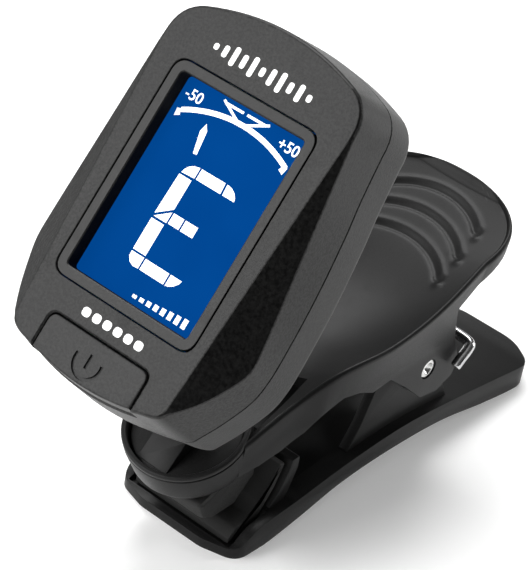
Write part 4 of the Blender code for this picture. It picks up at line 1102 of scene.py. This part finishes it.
settle(upper_cushion, "upper_arm", "pad", "upper_pad")

# %% [markdown]
# ## Spring
# A torsion spring of round wire sits on the hinge pin. One leg lies on the lower arm, and the other hooks over the
# edge of the upper arm's cheek. A smooth curve runs through the same few places as the plain solid, and a round
# section is swept along it with a frame that turns as little as it can.

# %% Wind the spring
WIRE_R, COIL_R, COIL_TURNS = 0.65, 3.3, 3
pitch = 2 * WIRE_R + 0.25
start_x = -COIL_TURNS * pitch / 2
turns = [Vector((start_x + pitch * t, COIL_R * sin(2 * pi * t + pi), COIL_R * cos(2 * pi * t + pi)))
         for t in (k / 14 for k in range(int(COIL_TURNS * 14) + 8))]
leg = [Vector((start_x, y, z)) for y, z in ((11.5, -7.2), (8, -6.2), (4, -4.4), (1.6, -3.6))]
hook_x, end_x = CHEEK_X + WIRE_R + 0.3, turns[-1].x
hook = [Vector(p) for p in ((end_x + 0.3, 2.4, 3.3), (end_x + 0.8, 4.8, 2.7), (end_x + 1.6, 6.4, 1.9),
                            (end_x + 2.8, 7.0, 1.4), (CHEEK_X - 1, 7.0, 1.3), (hook_x - 0.35, 6.8, 1.2),
                            (hook_x, 6.2, 0.8), (hook_x, 5.0, -0.2), (hook_x, 4.2, -0.9))]
stops = [p * MM for p in leg + turns + hook]


def through(points, fill=4):
    """More points on a smooth curve through these."""
    out = []
    for k in range(len(points) - 1):
        a, b, c, d = (points[min(max(k + i, 0), len(points) - 1)] for i in (-1, 0, 1, 2))
        for i in range(fill):
            t = i / fill
            square, cube = (2 * a - 5 * b + 4 * c - d) * t ** 2, (3 * b - a - 3 * c + d) * t ** 3
            out.append(0.5 * (2 * b + (c - a) * t + square + cube))
    return out + [points[-1]]


def tube(points, radius, count=20):
    loops = []
    side = Vector((1, 0.02, 0.03)).normalized()
    for i, p in enumerate(points):
        t = (points[min(i + 1, len(points) - 1)] - points[max(i - 1, 0)]).normalized()
        side = (side - t * side.dot(t)).normalized()
        across = t.cross(side)
        size = radius * (0.86 if i in (0, len(points) - 1) else 1.0)
        loops.append([p + (side * cos(2 * pi * k / count) + across * sin(2 * pi * k / count)) * size
                      for k in range(count)])
    return skin(loops)


spring = piece("torsion_spring", tube(through(stops), WIRE_R * MM), SPRING, IN_CLIP)
settle(spring, "lower_arm", "spring_wire", "clip_spring")

# %% [markdown]
# ## Parts that keep their solids
# The parts inside the case and the small screws already have their true shapes. Each gets its finish, and a narrow
# bevel where its edges would catch light.

# %% Finish the carried-over solids
CARRIED = {"lcd_panel": (DISPLAY, 0), "backlight": (DIFFUSER, 0.05), "display_connector": (CONNECTOR, 0.05),
           "circuit_board": (BOARD, 0.04), "button_switch": (SWITCH, 0.06), "tuner_chip": (CHIP, 0.06),
           "vibration_sensor": (BRASS, 0.06), "coin_cell": (NICKEL, 0.2), "negative_contact": (CONTACT, 0.03),
           "positive_contact": (CONTACT, 0.04), "case_screw_left": (STEEL, 0.05), "case_screw_right": (STEEL, 0.05),
           "turret_screw": (STEEL, 0.06), "turret_washer": (STEEL, 0.05)}
for name, (finish, width) in CARRIED.items():
    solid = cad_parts[name]
    solid.data.materials.clear()
    solid.data.materials.append(finish)
    if width:
        soften = solid.modifiers.new("edge", "BEVEL")
        soften.width = width * MM
        soften.segments = 2
        soften.limit_method = "ANGLE"
        soften.angle_limit = radians(50)
print("carried-over solids:", len(CARRIED))

# %% Bring the scene up to date
bpy.context.view_layer.update()
